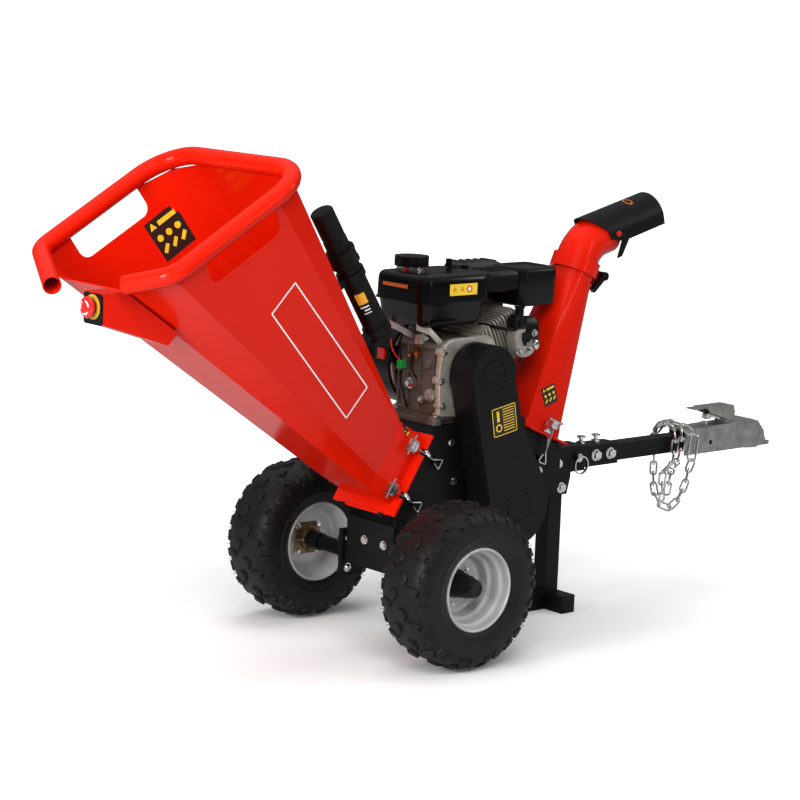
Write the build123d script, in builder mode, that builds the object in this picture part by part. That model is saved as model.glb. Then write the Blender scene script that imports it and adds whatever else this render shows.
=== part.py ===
"""Towable wood chipper: petrol engine, belt-driven cutting drum, folding feed hopper, swivelling chute.

Millimetres. +X points to the tow coupler, +Y to the left wheel, +Z up. The origin is on the ground,
under the middle of the machine's length and width. Heights and lengths along the machine are given
from the wheel axle, and AXLE_X moves them into the part's frame.
"""
from build123d import *
from math import atan2, cos, degrees, hypot, pi, radians, sin
import os

os.makedirs("parts", exist_ok=True)

# ---------------------------------------------------------------- driving dimensions
AXLE_X = -207.0          # the wheel axle, behind the middle of the machine
SHEET = 3.0              # sheet metal of the hopper and the chute
PLATE = 5.0              # plate of the drum housing
GAP = 0.3                # running gap between parts that move past each other
FIT = 0.05               # radial clearance of a pin or a shaft in its bore

# wheels
TYRE_R = 178.0
TYRE_W = 145.0
RIM_R = 88.5
RIM_W = 130.0
WHEEL_Y = 265.0
AXLE_R = 12.7
HUB_R = 25.0
HUB_END = 321.0          # outer end of the hub, from the middle plane

# drum housing and rotor
HOUSING_Y = 82.0         # half of the housing's width
ROTOR = (272.0, 297.0)   # rotor axis, (x from the axle, z)
DRUM_R = 84.0
KNIFE_R = 97.0
SCROLL_R = 113.0
ENGINE_Z = 478.0         # top of the engine plate

# engine and belt drive
CRANK = (180.0, 592.0)
BELT_Y = -118.0          # middle plane of the belt
GUARD_Y = (-85.0, -155.0)
ENGINE_PULLEY_R = 36.0
ROTOR_PULLEY_R = 60.0
CYLINDER_TILT = 25.0

# hopper: measured from the bottom edge of its flange, out along the neck and up the flange
FLANGE_X, FLANGE_Z = -45.0, 297.0
FLANGE_TILT = 58.3       # slope of the flange from the ground
FLANGE_H = 196.0
FLANGE_W = 206.0
NECK_LEN = 80.0
NECK_W = 158.0
NECK_D = (24.0, 188.0)   # bottom and top of the neck, up the flange
MOUTH_TILT = 30.7        # slope of the mouth from the ground
MOUTH_TOP = (713.0, 454.0)
MOUTH_W = 466.0          # between the centres of the rim tube's arms
MOUTH_SIDE = 371.0       # length of an arm, from the top corner to the lower bend
MOUTH_LOW = 422.0        # from the cross bar to the floor panel's edge
MOUTH_IN = 20.0          # the panels stop this far inside the plane of the rim tube
RIM_TUBE_R = 19.0
RIM_BEND = 95.0

# chute
CHUTE_X, CHUTE_Z = 408.0, 430.0
CHUTE_LEAN = 23.0        # from upright, towards the tow bar
CHUTE_LEN = 408.0
CHUTE_R = 49.0
CHUTE_BASE = (116.0, 150.0)
ELBOW_END_LEAN = 75.5    # lean of the outlet from upright
ELBOW_R = 96.0

# tow bar and leg
BAR_Z = 351.0
SOCKET = 60.0
OUTER_TUBE = 50.0
INNER_BAR = 40.0
SOCKET_END = 600.0
OUTER_END = 715.0
BAR_END = 1088.0
LEG_X = 520.0
LEG_W = 40.0
LEG_PIVOT_Z = 289.0
COUPLER = (945.0, 1254.0)

# ---------------------------------------------------------------- frames and helpers


def machine(x, y, z):
    """A point given from the wheel axle, in the part's frame."""
    return Vector(AXLE_X + x, y, z)


def side_plane(y):
    """A plane of the machine's side view: x along the machine, y up, normal towards -Y."""
    return Plane(origin=(AXLE_X, y, 0), x_dir=(1, 0, 0), z_dir=(0, -1, 0))


def side_block(points, y_from, y_to, mode=Mode.ADD):
    """Extrude a side-view outline, of (x, z) or (x, y, z) points, from one y to a lower one."""
    with BuildSketch(side_plane(y_from)) as outline:
        Polygon(*[(point[0], point[-1]) for point in points], align=None)
    extrude(outline.sketch, amount=y_from - y_to, mode=mode)


def side_rod(x, z, radius, y_from, y_to, mode=Mode.ADD):
    """A round rod along Y."""
    with BuildSketch(side_plane(y_from)) as disc:
        with Locations((x, z)):
            Circle(radius)
    extrude(disc.sketch, amount=y_from - y_to, mode=mode)


def block(x, y, z, mode=Mode.ADD):
    """A box from three (low, high) pairs, x from the wheel axle."""
    size = [high - low for low, high in (x, y, z)]
    with Locations(machine((x[0] + x[1]) / 2, (y[0] + y[1]) / 2, (z[0] + z[1]) / 2)):
        Box(*size, mode=mode)


def rounded_block(x, y, z, corner, mode=Mode.ADD):
    """A box with rounded upright edges."""
    with BuildSketch(Plane.XY.offset(z[0])) as outline:
        with Locations(machine((x[0] + x[1]) / 2, (y[0] + y[1]) / 2, 0)):
            RectangleRounded(x[1] - x[0], y[1] - y[0], corner)
    extrude(outline.sketch, amount=z[1] - z[0], mode=mode)


def rod(start, end, radius, mode=Mode.ADD):
    """A round rod between two points given from the wheel axle."""
    a = machine(*start)
    b = machine(*end)
    with BuildSketch(Plane(origin=a, z_dir=b - a)) as disc:
        Circle(radius)
    extrude(disc.sketch, amount=(b - a).length, mode=mode)


def bolt(point, direction, radius, head=4.0, washer=1.5):
    """A hexagon bolt head on its washer, standing on a surface."""
    base = Plane(origin=machine(*point), z_dir=direction)
    with BuildSketch(base) as disc:
        Circle(radius * 1.25)
    extrude(disc.sketch, amount=washer)
    with BuildSketch(base.offset(washer)) as hexagon:
        RegularPolygon(radius, 6)
    extrude(hexagon.sketch, amount=head)


def save(piece, name):
    """Label a finished piece and write its STEP file."""
    piece.part.label = name
    export_step(piece.part, f"parts/{name}.step")


def hopper_point(out, up, y=0.0):
    """A point from the hopper flange's bottom edge: out along the neck, up the flange."""
    a = radians(FLANGE_TILT)
    return (FLANGE_X - out * sin(a) + up * cos(a), y, FLANGE_Z + out * cos(a) + up * sin(a))


def flange_plane(out):
    """Plane parallel to the hopper flange: x towards -Y, y up the flange, normal out of the neck."""
    a = radians(FLANGE_TILT)
    origin = machine(*hopper_point(out, 0))
    return Plane(origin=origin, x_dir=(0, -1, 0), z_dir=(-sin(a), 0, cos(a)))


def mouth_plane(out):
    """Plane parallel to the hopper's mouth, origin at the middle of the rim tube's cross bar."""
    a = radians(MOUTH_TILT)
    normal = Vector(-sin(a), 0, cos(a))
    origin = machine(*hopper_point(*MOUTH_TOP)) + normal * out
    return Plane(origin=origin, x_dir=(0, -1, 0), z_dir=normal)


def chute_plane(up):
    """Plane across the chute: x down the slope towards the tow bar, y along +Y, normal up the chute."""
    a = radians(CHUTE_LEAN)
    normal = Vector(sin(a), 0, cos(a))
    origin = machine(CHUTE_X, 0, CHUTE_Z) + normal * up
    return Plane(origin=origin, x_dir=(cos(a), 0, -sin(a)), z_dir=normal)


# ---------------------------------------------------------------- chassis

HOUSING_FRONT = [hopper_point(-2, -6), hopper_point(-2, FLANGE_H)]


def housing_outline(inset):
    """Side view of the drum housing, drawn in by the inset: feed face, engine plate, chute slope, scroll."""
    low, high = HOUSING_FRONT
    lean = radians(CHUTE_LEAN)
    tilt = radians(FLANGE_TILT)
    slope_top = (CHUTE_X - 64 * cos(lean), CHUTE_Z + 64 * sin(lean) - 3)
    slope_end = (CHUTE_X + 64 * cos(lean), CHUTE_Z - 64 * sin(lean) - 3)
    with BuildLine() as line:
        rotor_x, rotor_z = ROTOR
        r = SCROLL_R - inset
        start = (rotor_x - r * sin(radians(60)), rotor_z - r * cos(radians(60)))
        end = (rotor_x + r * cos(radians(25)), rotor_z - r * sin(radians(25)))
        floor_z = low[2] + inset
        front_x = low[0] + inset / sin(tilt)
        arc = ThreePointArc(start, (rotor_x, rotor_z - r), end)
        Polyline(
            end,
            (slope_end[0] - inset, slope_end[1] - 96 + inset / 2),
            (slope_end[0] - inset, slope_end[1] - inset),
            (slope_top[0] - inset * 0.3, slope_top[1] - inset),
            (slope_top[0] - inset, ENGINE_Z - inset),
            (high[0] + 12 + inset, ENGINE_Z - inset),
            (high[0] + inset * 1.4, high[2] - inset * 0.6),
            (front_x + 0.3 * inset, floor_z),
            start,
        )
    return line


def housing_floor(x):
    """Height just under the housing's sloping floor, between its front and the scroll."""
    front_x, _, front_z = HOUSING_FRONT[0]
    scroll_x = ROTOR[0] - SCROLL_R * sin(radians(60))
    scroll_z = ROTOR[1] - SCROLL_R * cos(radians(60))
    return front_z + (x - front_x) * (scroll_z - front_z) / (scroll_x - front_x) - GAP


with BuildPart() as rotor_housing:
    with BuildSketch(side_plane(HOUSING_Y)):
        add(housing_outline(0))
        make_face()
    extrude(amount=2 * HOUSING_Y)
    with BuildSketch(side_plane(HOUSING_Y - PLATE)):
        add(housing_outline(PLATE))
        make_face()
    extrude(amount=2 * (HOUSING_Y - PLATE), mode=Mode.SUBTRACT)
    with BuildSketch(flange_plane(-40)):
        with Locations((0, (NECK_D[0] + NECK_D[1]) / 2)):
            Rectangle(NECK_W - 14, NECK_D[1] - NECK_D[0] - 30)
    extrude(amount=60, mode=Mode.SUBTRACT)
    with BuildSketch(chute_plane(-30)):
        Rectangle(CHUTE_BASE[0] - 14, CHUTE_BASE[1] - 14)
    extrude(amount=60, mode=Mode.SUBTRACT)
    side_rod(*ROTOR, 20, HOUSING_Y + 1, -HOUSING_Y - 1, mode=Mode.SUBTRACT)
save(rotor_housing, "rotor_housing")

with BuildPart() as axle_beam:
    # square beam, its end flanges, the bolted stub axles, and the bracket up to the housing
    block((-20, 20), (-88, 88), (158, 198))
    block((-16, 16), (-89, 89), (162, 194), mode=Mode.SUBTRACT)
    for side in (-1, 1):
        y0, y1 = sorted((side * 88, side * 94))
        block((-30, 30), (y0, y1), (124, 232))
        y0, y1 = sorted((side * 94, side * 100))
        block((-30, 30), (y0, y1), (124, 232))
        rod((0, side * 100, TYRE_R), (0, side * (WHEEL_Y - 76), TYRE_R), 17)
        rod((0, side * (WHEEL_Y - 76), TYRE_R), (0, side * (HUB_END - 5), TYRE_R), AXLE_R)
    block((-26, -21), (-78, 78), (199, 268))
    for side in (-1, 1):
        y0, y1 = sorted((side * 73, side * 78))
        side_block([(-21, 199), (60, 199), (140, 228),
                   (140, housing_floor(140)), (-21, housing_floor(-21))], y1, y0)
save(axle_beam, "axle_beam")

with BuildPart() as tow_socket:
    # square socket on the rear wall, and the two cheeks that hold the leg's pivot bolt
    half = SOCKET / 2
    block((467, SOCKET_END), (-half, half), (BAR_Z - half, BAR_Z + half))
    inner = OUTER_TUBE / 2 + GAP
    block((466, SOCKET_END + 1), (-inner, inner), (BAR_Z - inner, BAR_Z + inner), mode=Mode.SUBTRACT)
    for side in (-1, 1):
        y0, y1 = sorted((side * half, side * (half + 5)))
        side_block([(480, 378), (550, 378), (550, 312), (540, 272), (500, 272), (480, 300)], y1, y0)
    side_rod(LEG_X, LEG_PIVOT_Z, 6 + FIT, half + 6, -half - 6, mode=Mode.SUBTRACT)
    side_rod(573, BAR_Z + 3, 6 + FIT, half + 6, -half - 6, mode=Mode.SUBTRACT)
save(tow_socket, "tow_socket")


# ---------------------------------------------------------------- wheels


def wheel_plane(side):
    """Half-section plane of a wheel: x outwards along the axle, y outwards from the axle's centre."""
    return Plane(origin=machine(0, side * WHEEL_Y, TYRE_R), x_dir=(0, side, 0), z_dir=(side, 0, 0))


WHEEL_AXIS = Axis((AXLE_X, 0, TYRE_R), (0, 1, 0))
RIM_BARREL = [
    (-65, 88.5), (-62, 88.5), (-62, 77), (-40, 75), (-34, 62), (10, 62), (22, 75), (62, 77), (62, 88.5),
    (65, 88.5), (65, 74), (24, 72), (13, 59), (-36, 59), (-42, 72), (-65, 74),
]
RIM_DISC = [(-34, 60), (-28, 60), (-18, HUB_R), (-24, HUB_R)]
TYRE_OUTER = [
    (-61.5, 77.5), (-61.5, 91), (-69, 106), (-TYRE_W / 2, 130), (-69, 153), (-55, 171),
     (-30, 177), (0, TYRE_R),
    (30, 177), (55, 171), (69, 153), (TYRE_W / 2, 130), (69, 106), (61.5, 91), (61.5, 77.5),
]
TYRE_INNER = [
    (-50, 77), (-52, 95), (-62, 130), (-56, 150), (-42, 162), (0, 167), (42, 162), (56, 150), (62, 130),
    (52, 95), (50, 77),
]

for side, name in ((1, "left"), (-1, "right")):
    with BuildPart() as rim:
        with BuildSketch(wheel_plane(side)):
            Polygon(*RIM_BARREL, align=None)
            Polygon(*RIM_DISC, align=None)
        revolve(axis=WHEEL_AXIS)
    save(rim, f"{name}_rim")

    with BuildPart() as hub:
        end = HUB_END - WHEEL_Y
        with BuildSketch(wheel_plane(side)):
            Polygon((-70, 0), (-70, 22), (-30, 22), (-30, HUB_R), (30, HUB_R), (30, 22),
                    (end, 22), (end, 0), align=None)
        revolve(axis=WHEEL_AXIS)
        with BuildSketch(wheel_plane(side)):
            Polygon((-71, 0), (-71, AXLE_R + FIT), (end - 4, AXLE_R + FIT), (end - 4, 0), align=None)
        revolve(axis=WHEEL_AXIS, mode=Mode.SUBTRACT)
    save(hub, f"{name}_hub")

    with BuildPart() as tyre:
        with BuildSketch(wheel_plane(side)):
            Polygon(*TYRE_OUTER, align=None)
            Polygon(*TYRE_INNER, align=None, mode=Mode.SUBTRACT)
        revolve(axis=WHEEL_AXIS)
    save(tyre, f"{name}_tyre")

# ---------------------------------------------------------------- rotor and belt drive

SHAFT_R = 17.5
CRANK_R = 9.5

with BuildPart() as rotor_bearings:
    for y_from, y_to in ((-HOUSING_Y, -98), (98, HOUSING_Y)):
        side_rod(*ROTOR, 38, y_from, y_to)
        with BuildSketch(side_plane(y_from)):
            with Locations(ROTOR):
                with Locations((0, 0)):
                    Rectangle(92, 58)
                with Locations((-38, 0), (38, 0)):
                    Circle(5.5, mode=Mode.SUBTRACT)
        extrude(amount=12 if y_from < 0 else y_from - y_to)
        side_rod(*ROTOR, SHAFT_R + FIT, y_from + 1, y_to - 1, mode=Mode.SUBTRACT)
save(rotor_bearings, "rotor_bearings")


def knife_plane(turn):
    """Section plane of the drum with x along one knife."""
    a = radians(turn)
    return Plane(origin=machine(ROTOR[0], 68, ROTOR[1]), x_dir=(cos(a), 0, sin(a)), z_dir=(0, -1, 0))


with BuildPart() as rotor_drum:
    side_rod(*ROTOR, DRUM_R, 70, -70)
    side_rod(*ROTOR, SHAFT_R, 112, -142)
    for turn in (60, 240):
        with BuildSketch(knife_plane(turn)):
            with Locations((DRUM_R - 4, 0)):
                Rectangle(40, 10.2)
        extrude(amount=136, mode=Mode.SUBTRACT)
save(rotor_drum, "rotor_drum")

with BuildPart() as rotor_knives:
    for turn in (60, 240):
        with BuildSketch(knife_plane(turn)):
            with Locations(((KNIFE_R + DRUM_R - 24) / 2, 0)):
                Rectangle(KNIFE_R - DRUM_R + 23.8, 10)
        extrude(amount=136)
save(rotor_knives, "rotor_knives")

with BuildPart() as anvil_blade:
    # counter knife on the feed side, across the whole width of the drum
    anvil_x = ROTOR[0] - KNIFE_R - 3
    block((anvil_x - 50, anvil_x), (-76.5, 76.5), (303, 315))
    block((anvil_x - 50, anvil_x - 12), (-76.5, 76.5), (280, 302.9))
save(anvil_blade, "anvil_blade")


def pulley(centre, radius, bore, y_mid=BELT_Y, width=24.0):
    """A grooved pulley: two flanges, a groove for the belt and a bored boss."""
    side_rod(*centre, radius, y_mid + width / 2, y_mid - width / 2)
    with BuildSketch(side_plane(y_mid + 7)) as groove:
        with Locations(centre):
            Circle(radius + 1)
            Circle(radius - 9, mode=Mode.SUBTRACT)
    extrude(groove.sketch, amount=14, mode=Mode.SUBTRACT)
    side_rod(*centre, bore, y_mid + width, y_mid - width, mode=Mode.SUBTRACT)


with BuildPart() as rotor_pulley:
    pulley(ROTOR, ROTOR_PULLEY_R, SHAFT_R)
    for turn in range(0, 360, 60):
        a = radians(turn)
        side_rod(ROTOR[0] + 35 * cos(a), ROTOR[1] + 35 * sin(a), 8,
                 BELT_Y + 13, BELT_Y - 13, mode=Mode.SUBTRACT)
save(rotor_pulley, "rotor_pulley")

with BuildPart() as engine_pulley:
    pulley(CRANK, ENGINE_PULLEY_R, CRANK_R)
save(engine_pulley, "engine_pulley")

with BuildPart() as drive_belt:
    for inset, mode in ((-1.0, Mode.ADD), (8.4, Mode.SUBTRACT)):
        with BuildSketch(side_plane(BELT_Y + 6.3)):
            with Locations(CRANK):
                Circle(ENGINE_PULLEY_R - inset)
            with Locations(ROTOR):
                Circle(ROTOR_PULLEY_R - inset)
            make_hull()
        extrude(amount=12.6, mode=mode)
save(drive_belt, "drive_belt")

with BuildPart() as crankshaft:
    side_rod(*CRANK, CRANK_R, 112, -140)
    side_rod(*CRANK, 78, 112, 96)
save(crankshaft, "crankshaft")

GUARD_TOP_R = 68.0
GUARD_LOW_R = 93.0


def guard_outline(inset):
    """Belt guard face: a round top over the engine pulley, a waist and a larger round end at the rotor."""
    x, z = CRANK
    low_x, low_z = ROTOR
    with Locations((x, z)):
        Circle(GUARD_TOP_R - inset)
    with Locations((low_x, low_z)):
        Circle(GUARD_LOW_R - inset)
    Polygon(
        (x - GUARD_TOP_R + inset, z + 2), (low_x - GUARD_LOW_R - 1 + inset, low_z + 25),
        (low_x - GUARD_LOW_R + inset, low_z), (low_x + GUARD_LOW_R - inset, low_z),
        (low_x + GUARD_LOW_R - 4 - inset, low_z + 28), (low_x + 62 - inset, low_z + 78),
        (x + 94 - inset, z - 110), (x + GUARD_TOP_R - inset, z - 8), (x, z), align=None,
    )


GUARD_ROUND = 4.0        # the face is set in by this much over the last of the depth

with BuildPart() as belt_guard:
    with BuildSketch(side_plane(GUARD_Y[0])):
        guard_outline(0)
    extrude(amount=GUARD_Y[0] - GUARD_Y[1] - GUARD_ROUND)
    with BuildSketch(side_plane(GUARD_Y[1] + GUARD_ROUND)):
        guard_outline(GUARD_ROUND)
    extrude(amount=GUARD_ROUND)
    with BuildSketch(side_plane(GUARD_Y[0])):
        guard_outline(GUARD_ROUND + 2.5)
    extrude(amount=GUARD_Y[0] - GUARD_Y[1] - 2.5, mode=Mode.SUBTRACT)
    with BuildSketch(side_plane(GUARD_Y[1] + 10)):
        for centre in (CRANK, ROTOR):
            with Locations(centre):
                with PolarLocations(35, 16):
                    Circle(2.5)
    extrude(amount=20, mode=Mode.SUBTRACT)
save(belt_guard, "belt_guard")

# ---------------------------------------------------------------- engine

with BuildPart() as crankcase:
    x, z = CRANK
    block((x - 95, x + 108), (-60, 78), (ENGINE_Z + 0.1, ENGINE_Z + 12))
    rounded_block((x - 82, x + 82), (-68, 84), (ENGINE_Z + 11, z + 58), 20)
    side_rod(x, z, 62, -60, -74)
    side_rod(x, z, CRANK_R + FIT, 90, -80, mode=Mode.SUBTRACT)
save(crankcase, "crankcase")


def cylinder_plane(out):
    """Plane across the cylinder's axis, x along +Y, at a distance from the crank axis."""
    a = radians(CYLINDER_TILT)
    origin = machine(CRANK[0] + out * cos(a), 8, CRANK[1] + out * sin(a))
    return Plane(origin=origin, x_dir=(0, 1, 0), z_dir=(cos(a), 0, sin(a)))


with BuildPart() as cylinder:
    # bored barrel with cooling fins
    with BuildSketch(cylinder_plane(101)):
        RectangleRounded(92, 88, 16)
    extrude(amount=58)
    for fin in range(6):
        with BuildSketch(cylinder_plane(104 + fin * 9)):
            RectangleRounded(124, 112, 12)
        extrude(amount=3.2)
    with BuildSketch(cylinder_plane(100)):
        Circle(34)
    extrude(amount=52, mode=Mode.SUBTRACT)
save(cylinder, "cylinder")

with BuildPart() as cylinder_head:
    with BuildSketch(cylinder_plane(159.1)):
        RectangleRounded(104, 98, 10)
    extrude(amount=34)
    for fin in range(4):
        with BuildSketch(cylinder_plane(161 + fin * 8)):
            RectangleRounded(122, 110, 10)
        extrude(amount=3.0)
    with BuildSketch(cylinder_plane(193)):
        RectangleRounded(86, 70, 14)
    extrude(amount=19)
save(cylinder_head, "cylinder_head")

TANK_X = (40.0, 250.0)
TANK_Y = (-70.0, 104.0)
TANK_Z = (691.0, 747.0, 806.0)     # bottom, pressed seam, top
TANK_LOW = (12.0, 16.0)            # the lower half is narrower by this much at each side
CAP = (113.0, 54.0)
CAP_R = 38.0

with BuildPart() as fuel_tank:
    rounded_block(TANK_X, TANK_Y, (TANK_Z[1], TANK_Z[2]), 20)
    rounded_block((TANK_X[0] + TANK_LOW[0], TANK_X[1] - TANK_LOW[1]), (TANK_Y[0] + 8, TANK_Y[1] - 8),
                  (TANK_Z[0], TANK_Z[1]), 16)
    block((TANK_X[0] + 6, TANK_X[1] - 6), (TANK_Y[0] + 6, TANK_Y[1] - 6), (TANK_Z[1] + 2, TANK_Z[2] - 3),
          mode=Mode.SUBTRACT)
    block((TANK_X[0] + 18, TANK_X[1] - 22), (TANK_Y[0] + 14, TANK_Y[1] - 14), (TANK_Z[0] + 3, TANK_Z[1] + 4),
          mode=Mode.SUBTRACT)
    rod((*CAP, TANK_Z[2] - 6), (*CAP, TANK_Z[2] + 8), 26)
    rod((*CAP, TANK_Z[2] - 12), (*CAP, TANK_Z[2] + 9), 21, mode=Mode.SUBTRACT)
save(fuel_tank, "fuel_tank")

with BuildPart() as fuel_cap:
    rod((*CAP, TANK_Z[2] + 8.4), (*CAP, TANK_Z[2] + 31), CAP_R)
    rod((*CAP, TANK_Z[2] - 4), (*CAP, TANK_Z[2] + 9), 20.5)
    with BuildSketch(Plane.XY.offset(TANK_Z[2] + 8)):
        with Locations(machine(*CAP, 0)):
            with PolarLocations(CAP_R + 4, 9):
                Circle(7)
    extrude(amount=18, mode=Mode.SUBTRACT)
save(fuel_cap, "fuel_cap")

AIRBOX_X = (352.0, 468.0)
AIRBOX_Y = (-50.0, 62.0)
AIRBOX_Z = (720.0, 808.0)

with BuildPart() as air_filter:
    rounded_block(AIRBOX_X, AIRBOX_Y, AIRBOX_Z, 12)
    block((252, AIRBOX_X[0] + 10), (-42, 54), (762, 800))
save(air_filter, "air_filter")

with BuildPart() as carburettor:
    block((330, 372), (-58, -54.2), (640, 700))
    rod((352, -57, 672), (352, -98, 672), 20)
    rod((352, -76, 655), (352, -76, 620), 17)
    rod((352, -86, 690), (352, -86, 706), 14)
    rod((352, -86, 706), (384, -38, 706), 9)
    rod((384, -38, 697), (384, -38, AIRBOX_Z[0] - 0.1), 9)
save(carburettor, "carburettor")

with BuildPart() as muffler:
    block((300, 402), (72, 142), (700, 790))
    fillet(muffler.edges().filter_by(Axis.Y), radius=24)
    rod((345, 69.1, 665), (345, 104, 665), 13)
    rod((345, 104, 652), (345, 104, 702), 13)
    rod((400, 118, 752), (428, 118, 752), 9)
save(muffler, "muffler")

SWITCH_Y = 90.0
SWITCH_PIN_R = 2.0       # of the rocker switch's pivot

with BuildPart() as recoil_cover:
    # blower housing round the flywheel, closed by the starter cover
    x, z = CRANK
    side_rod(x, z, 98, 172, 85)
    block((x - 20, x + 120), (85, 150), (z + 30, z + 96))
    side_rod(x, z, 86, 150, 84, mode=Mode.SUBTRACT)
    side_rod(x, z, 60, 182, 172)
    for turn in range(0, 360, 15):
        a = radians(turn)
        b = radians(turn + 7)
        points = [
            (x + 66 * cos(a), z + 66 * sin(a)), (x + 92 * cos(a), z + 92 * sin(a)),
            (x + 92 * cos(b), z + 92 * sin(b)), (x + 66 * cos(b), z + 66 * sin(b)),
        ]
        side_block(points, 173, 166, mode=Mode.SUBTRACT)
    # switch box with the rocker's pocket
    block((x - 112, x - 84), (67, 115), (z + 7, z + 45))
    block((x - 113, x - 102), (SWITCH_Y - 11.5, SWITCH_Y + 11.5), (z + 11.5, z + 40.5), mode=Mode.SUBTRACT)
    side_rod(x - 111, z + 26, SWITCH_PIN_R + FIT, SWITCH_Y + 14.5, SWITCH_Y - 14.5, mode=Mode.SUBTRACT)
save(recoil_cover, "recoil_cover")

with BuildPart() as recoil_handle:
    # T-grip that rests on the starter cover
    x, z = CRANK
    rod((x + 10, 192, z + 88), (x + 90, 192, z + 88), 9)
    rod((x + 50, 173, z + 88), (x + 50, 186, z + 88), 6)
save(recoil_handle, "recoil_handle")

with BuildPart() as engine_switch:
    x, z = CRANK
    block((x - 117, x - 105), (SWITCH_Y - 11, SWITCH_Y + 11), (z + 14, z + 38))
    side_rod(x - 111, z + 26, SWITCH_PIN_R, SWITCH_Y + 14, SWITCH_Y - 14)
save(engine_switch, "engine_switch")

with BuildPart() as throttle_lever:
    rod((262, 44, 800.5), (262, 44, 810), 9)
    block((211, 262), (40, 48), (807, 810))
    rod((214, 44, 810), (214, 44, 826), 7)
save(throttle_lever, "throttle_lever")

# ---------------------------------------------------------------- hopper


def mirrored(right):
    """Close a symmetric outline from its right half, listed from the bottom up."""
    return right + [(-x, y) for x, y in reversed(right)]


def neck_outline(inset):
    """Section of the neck where the flared panels start."""
    half = NECK_W / 2 - inset
    low, high = NECK_D[0] + inset, NECK_D[1] - inset
    return mirrored([(half - 2, low), (half, 62), (half, high - 8), (half - 3, high - 2), (half - 9, high)])


def mouth_outline(inset):
    """Section of the panels at the mouth: straight sides, a narrower floor and folded top corners."""
    half = MOUTH_W / 2 - inset
    return mirrored([
        (106 - inset, -MOUTH_LOW + inset), (half, -MOUTH_SIDE + 0.4 * inset), (half, -95),
        (half - 28, -28 - inset), (half - 95, -inset),
    ])


HINGE_R = 4.0
HOPPER_PIN = hopper_point(2.5, 0)
LATCH_UP = (50.0, 155.0)         # heights of the two latches on each side, up the flange
HAND_HOLD = (110.0, 300.0)       # along the mouth's side, from the cross bar
HAND_HOLD_DEPTH = 55.0

with BuildPart() as hopper_body:
    for inset, mode in ((0, Mode.ADD), (SHEET, Mode.SUBTRACT)):
        with BuildSketch(flange_plane(NECK_LEN)):
            Polygon(*neck_outline(inset), align=None)
        with BuildSketch(mouth_plane(-MOUTH_IN)):
            Polygon(*mouth_outline(inset), align=None)
        loft(ruled=True, mode=mode)
    with BuildSketch(flange_plane(0)):
        Polygon(*neck_outline(0), align=None)
        Polygon(*neck_outline(SHEET), align=None, mode=Mode.SUBTRACT)
    extrude(amount=NECK_LEN)
    with BuildSketch(flange_plane(0)):
        with Locations((0, FLANGE_H / 2)):
            Rectangle(FLANGE_W, FLANGE_H)
        Polygon(*neck_outline(SHEET), align=None, mode=Mode.SUBTRACT)
        for up in LATCH_UP:
            with Locations((-FLANGE_W / 2 + 7, up), (FLANGE_W / 2 - 7, up)):
                Rectangle(14, 16, mode=Mode.SUBTRACT)
    extrude(amount=5)
    side_rod(HOPPER_PIN[0], HOPPER_PIN[2], HINGE_R, 72, -72)
    # hand holds through both side panels, just behind the rim tube
    mouth = mouth_plane(0)
    hold = Plane(origin=mouth.origin - Vector(0, 260, 0), x_dir=-mouth.y_dir, z_dir=(0, 1, 0))
    flip = 1 if hold.y_dir.dot(mouth.z_dir) > 0 else -1
    for start in (0, 260 + MOUTH_W / 2 - 45):
        with BuildSketch(hold.offset(start)):
            with Locations((sum(HAND_HOLD) / 2, -flip * (MOUTH_IN + HAND_HOLD_DEPTH / 2 - 12))):
                RectangleRounded(HAND_HOLD[1] - HAND_HOLD[0], HAND_HOLD_DEPTH + 24, 22)
        extrude(amount=72, mode=Mode.SUBTRACT)
save(hopper_body, "hopper_body")

RIM_END = {-1: 136.0, 1: 60.0}   # where the tube stops on each side, from the middle plane
RIM_LOW_SLOPE = 97.0 / 173.0


def rim_end(side):
    """End of the rim tube in the mouth plane, where x points to -Y."""
    y = RIM_END[side]
    return (-side * y, -MOUTH_SIDE - (MOUTH_W / 2 - y) * RIM_LOW_SLOPE)


with BuildPart() as hopper_rim_tube:
    half = MOUTH_W / 2
    with BuildLine(mouth_plane(0)) as path:
        FilletPolyline(
            rim_end(-1), (half, -MOUTH_SIDE), (half, 0), (-half, 0), (-half, -MOUTH_SIDE), rim_end(1),
            radius=[40, RIM_BEND, RIM_BEND, 40],
        )
    with BuildSketch(Plane(origin=path.line @ 0, z_dir=path.line % 0)):
        Circle(RIM_TUBE_R)
        Circle(RIM_TUBE_R - 2.2, mode=Mode.SUBTRACT)
    sweep()
save(hopper_rim_tube, "hopper_rim_tube")

E_STOP = (-818.0, -89.0, 796.0)      # centre of the button on the box's front
E_STOP_Y = (-120.0, -58.0)
E_STOP_R = 8.0


def panel_floor(x):
    """Height just under the hopper's floor panel."""
    neck = hopper_point(NECK_LEN, NECK_D[0])
    lip = mouth_plane(-MOUTH_IN).from_local_coords(Vector(0, -MOUTH_LOW, 0)) - Vector(AXLE_X, 0, 0)
    return lip.Z + (x - lip.X) * (lip.Z - neck[2]) / (lip.X - neck[0]) - GAP

with BuildPart() as e_stop_box:
    x, y, z = E_STOP
    top = (-766, panel_floor(-766))
    outline = [(x, z - 32), (x, z + 28), top, (-640, panel_floor(-640)), (-664, 714)]
    side_block(outline, E_STOP_Y[1], E_STOP_Y[0])
    rod((x - 1, y, z), (x + 22, y, z), E_STOP_R + FIT, mode=Mode.SUBTRACT)
save(e_stop_box, "e_stop_box")

with BuildPart() as e_stop_button:
    x, y, z = E_STOP
    rod((x - 15, y, z), (x + 14, y, z), E_STOP_R)
    rod((x - 22, y, z), (x - 14, y, z), 17)
    fillet(e_stop_button.faces().sort_by(Axis.X)[0].edges(), radius=4)
save(e_stop_button, "e_stop_button")

# ---------------------------------------------------------------- draw latches

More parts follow.
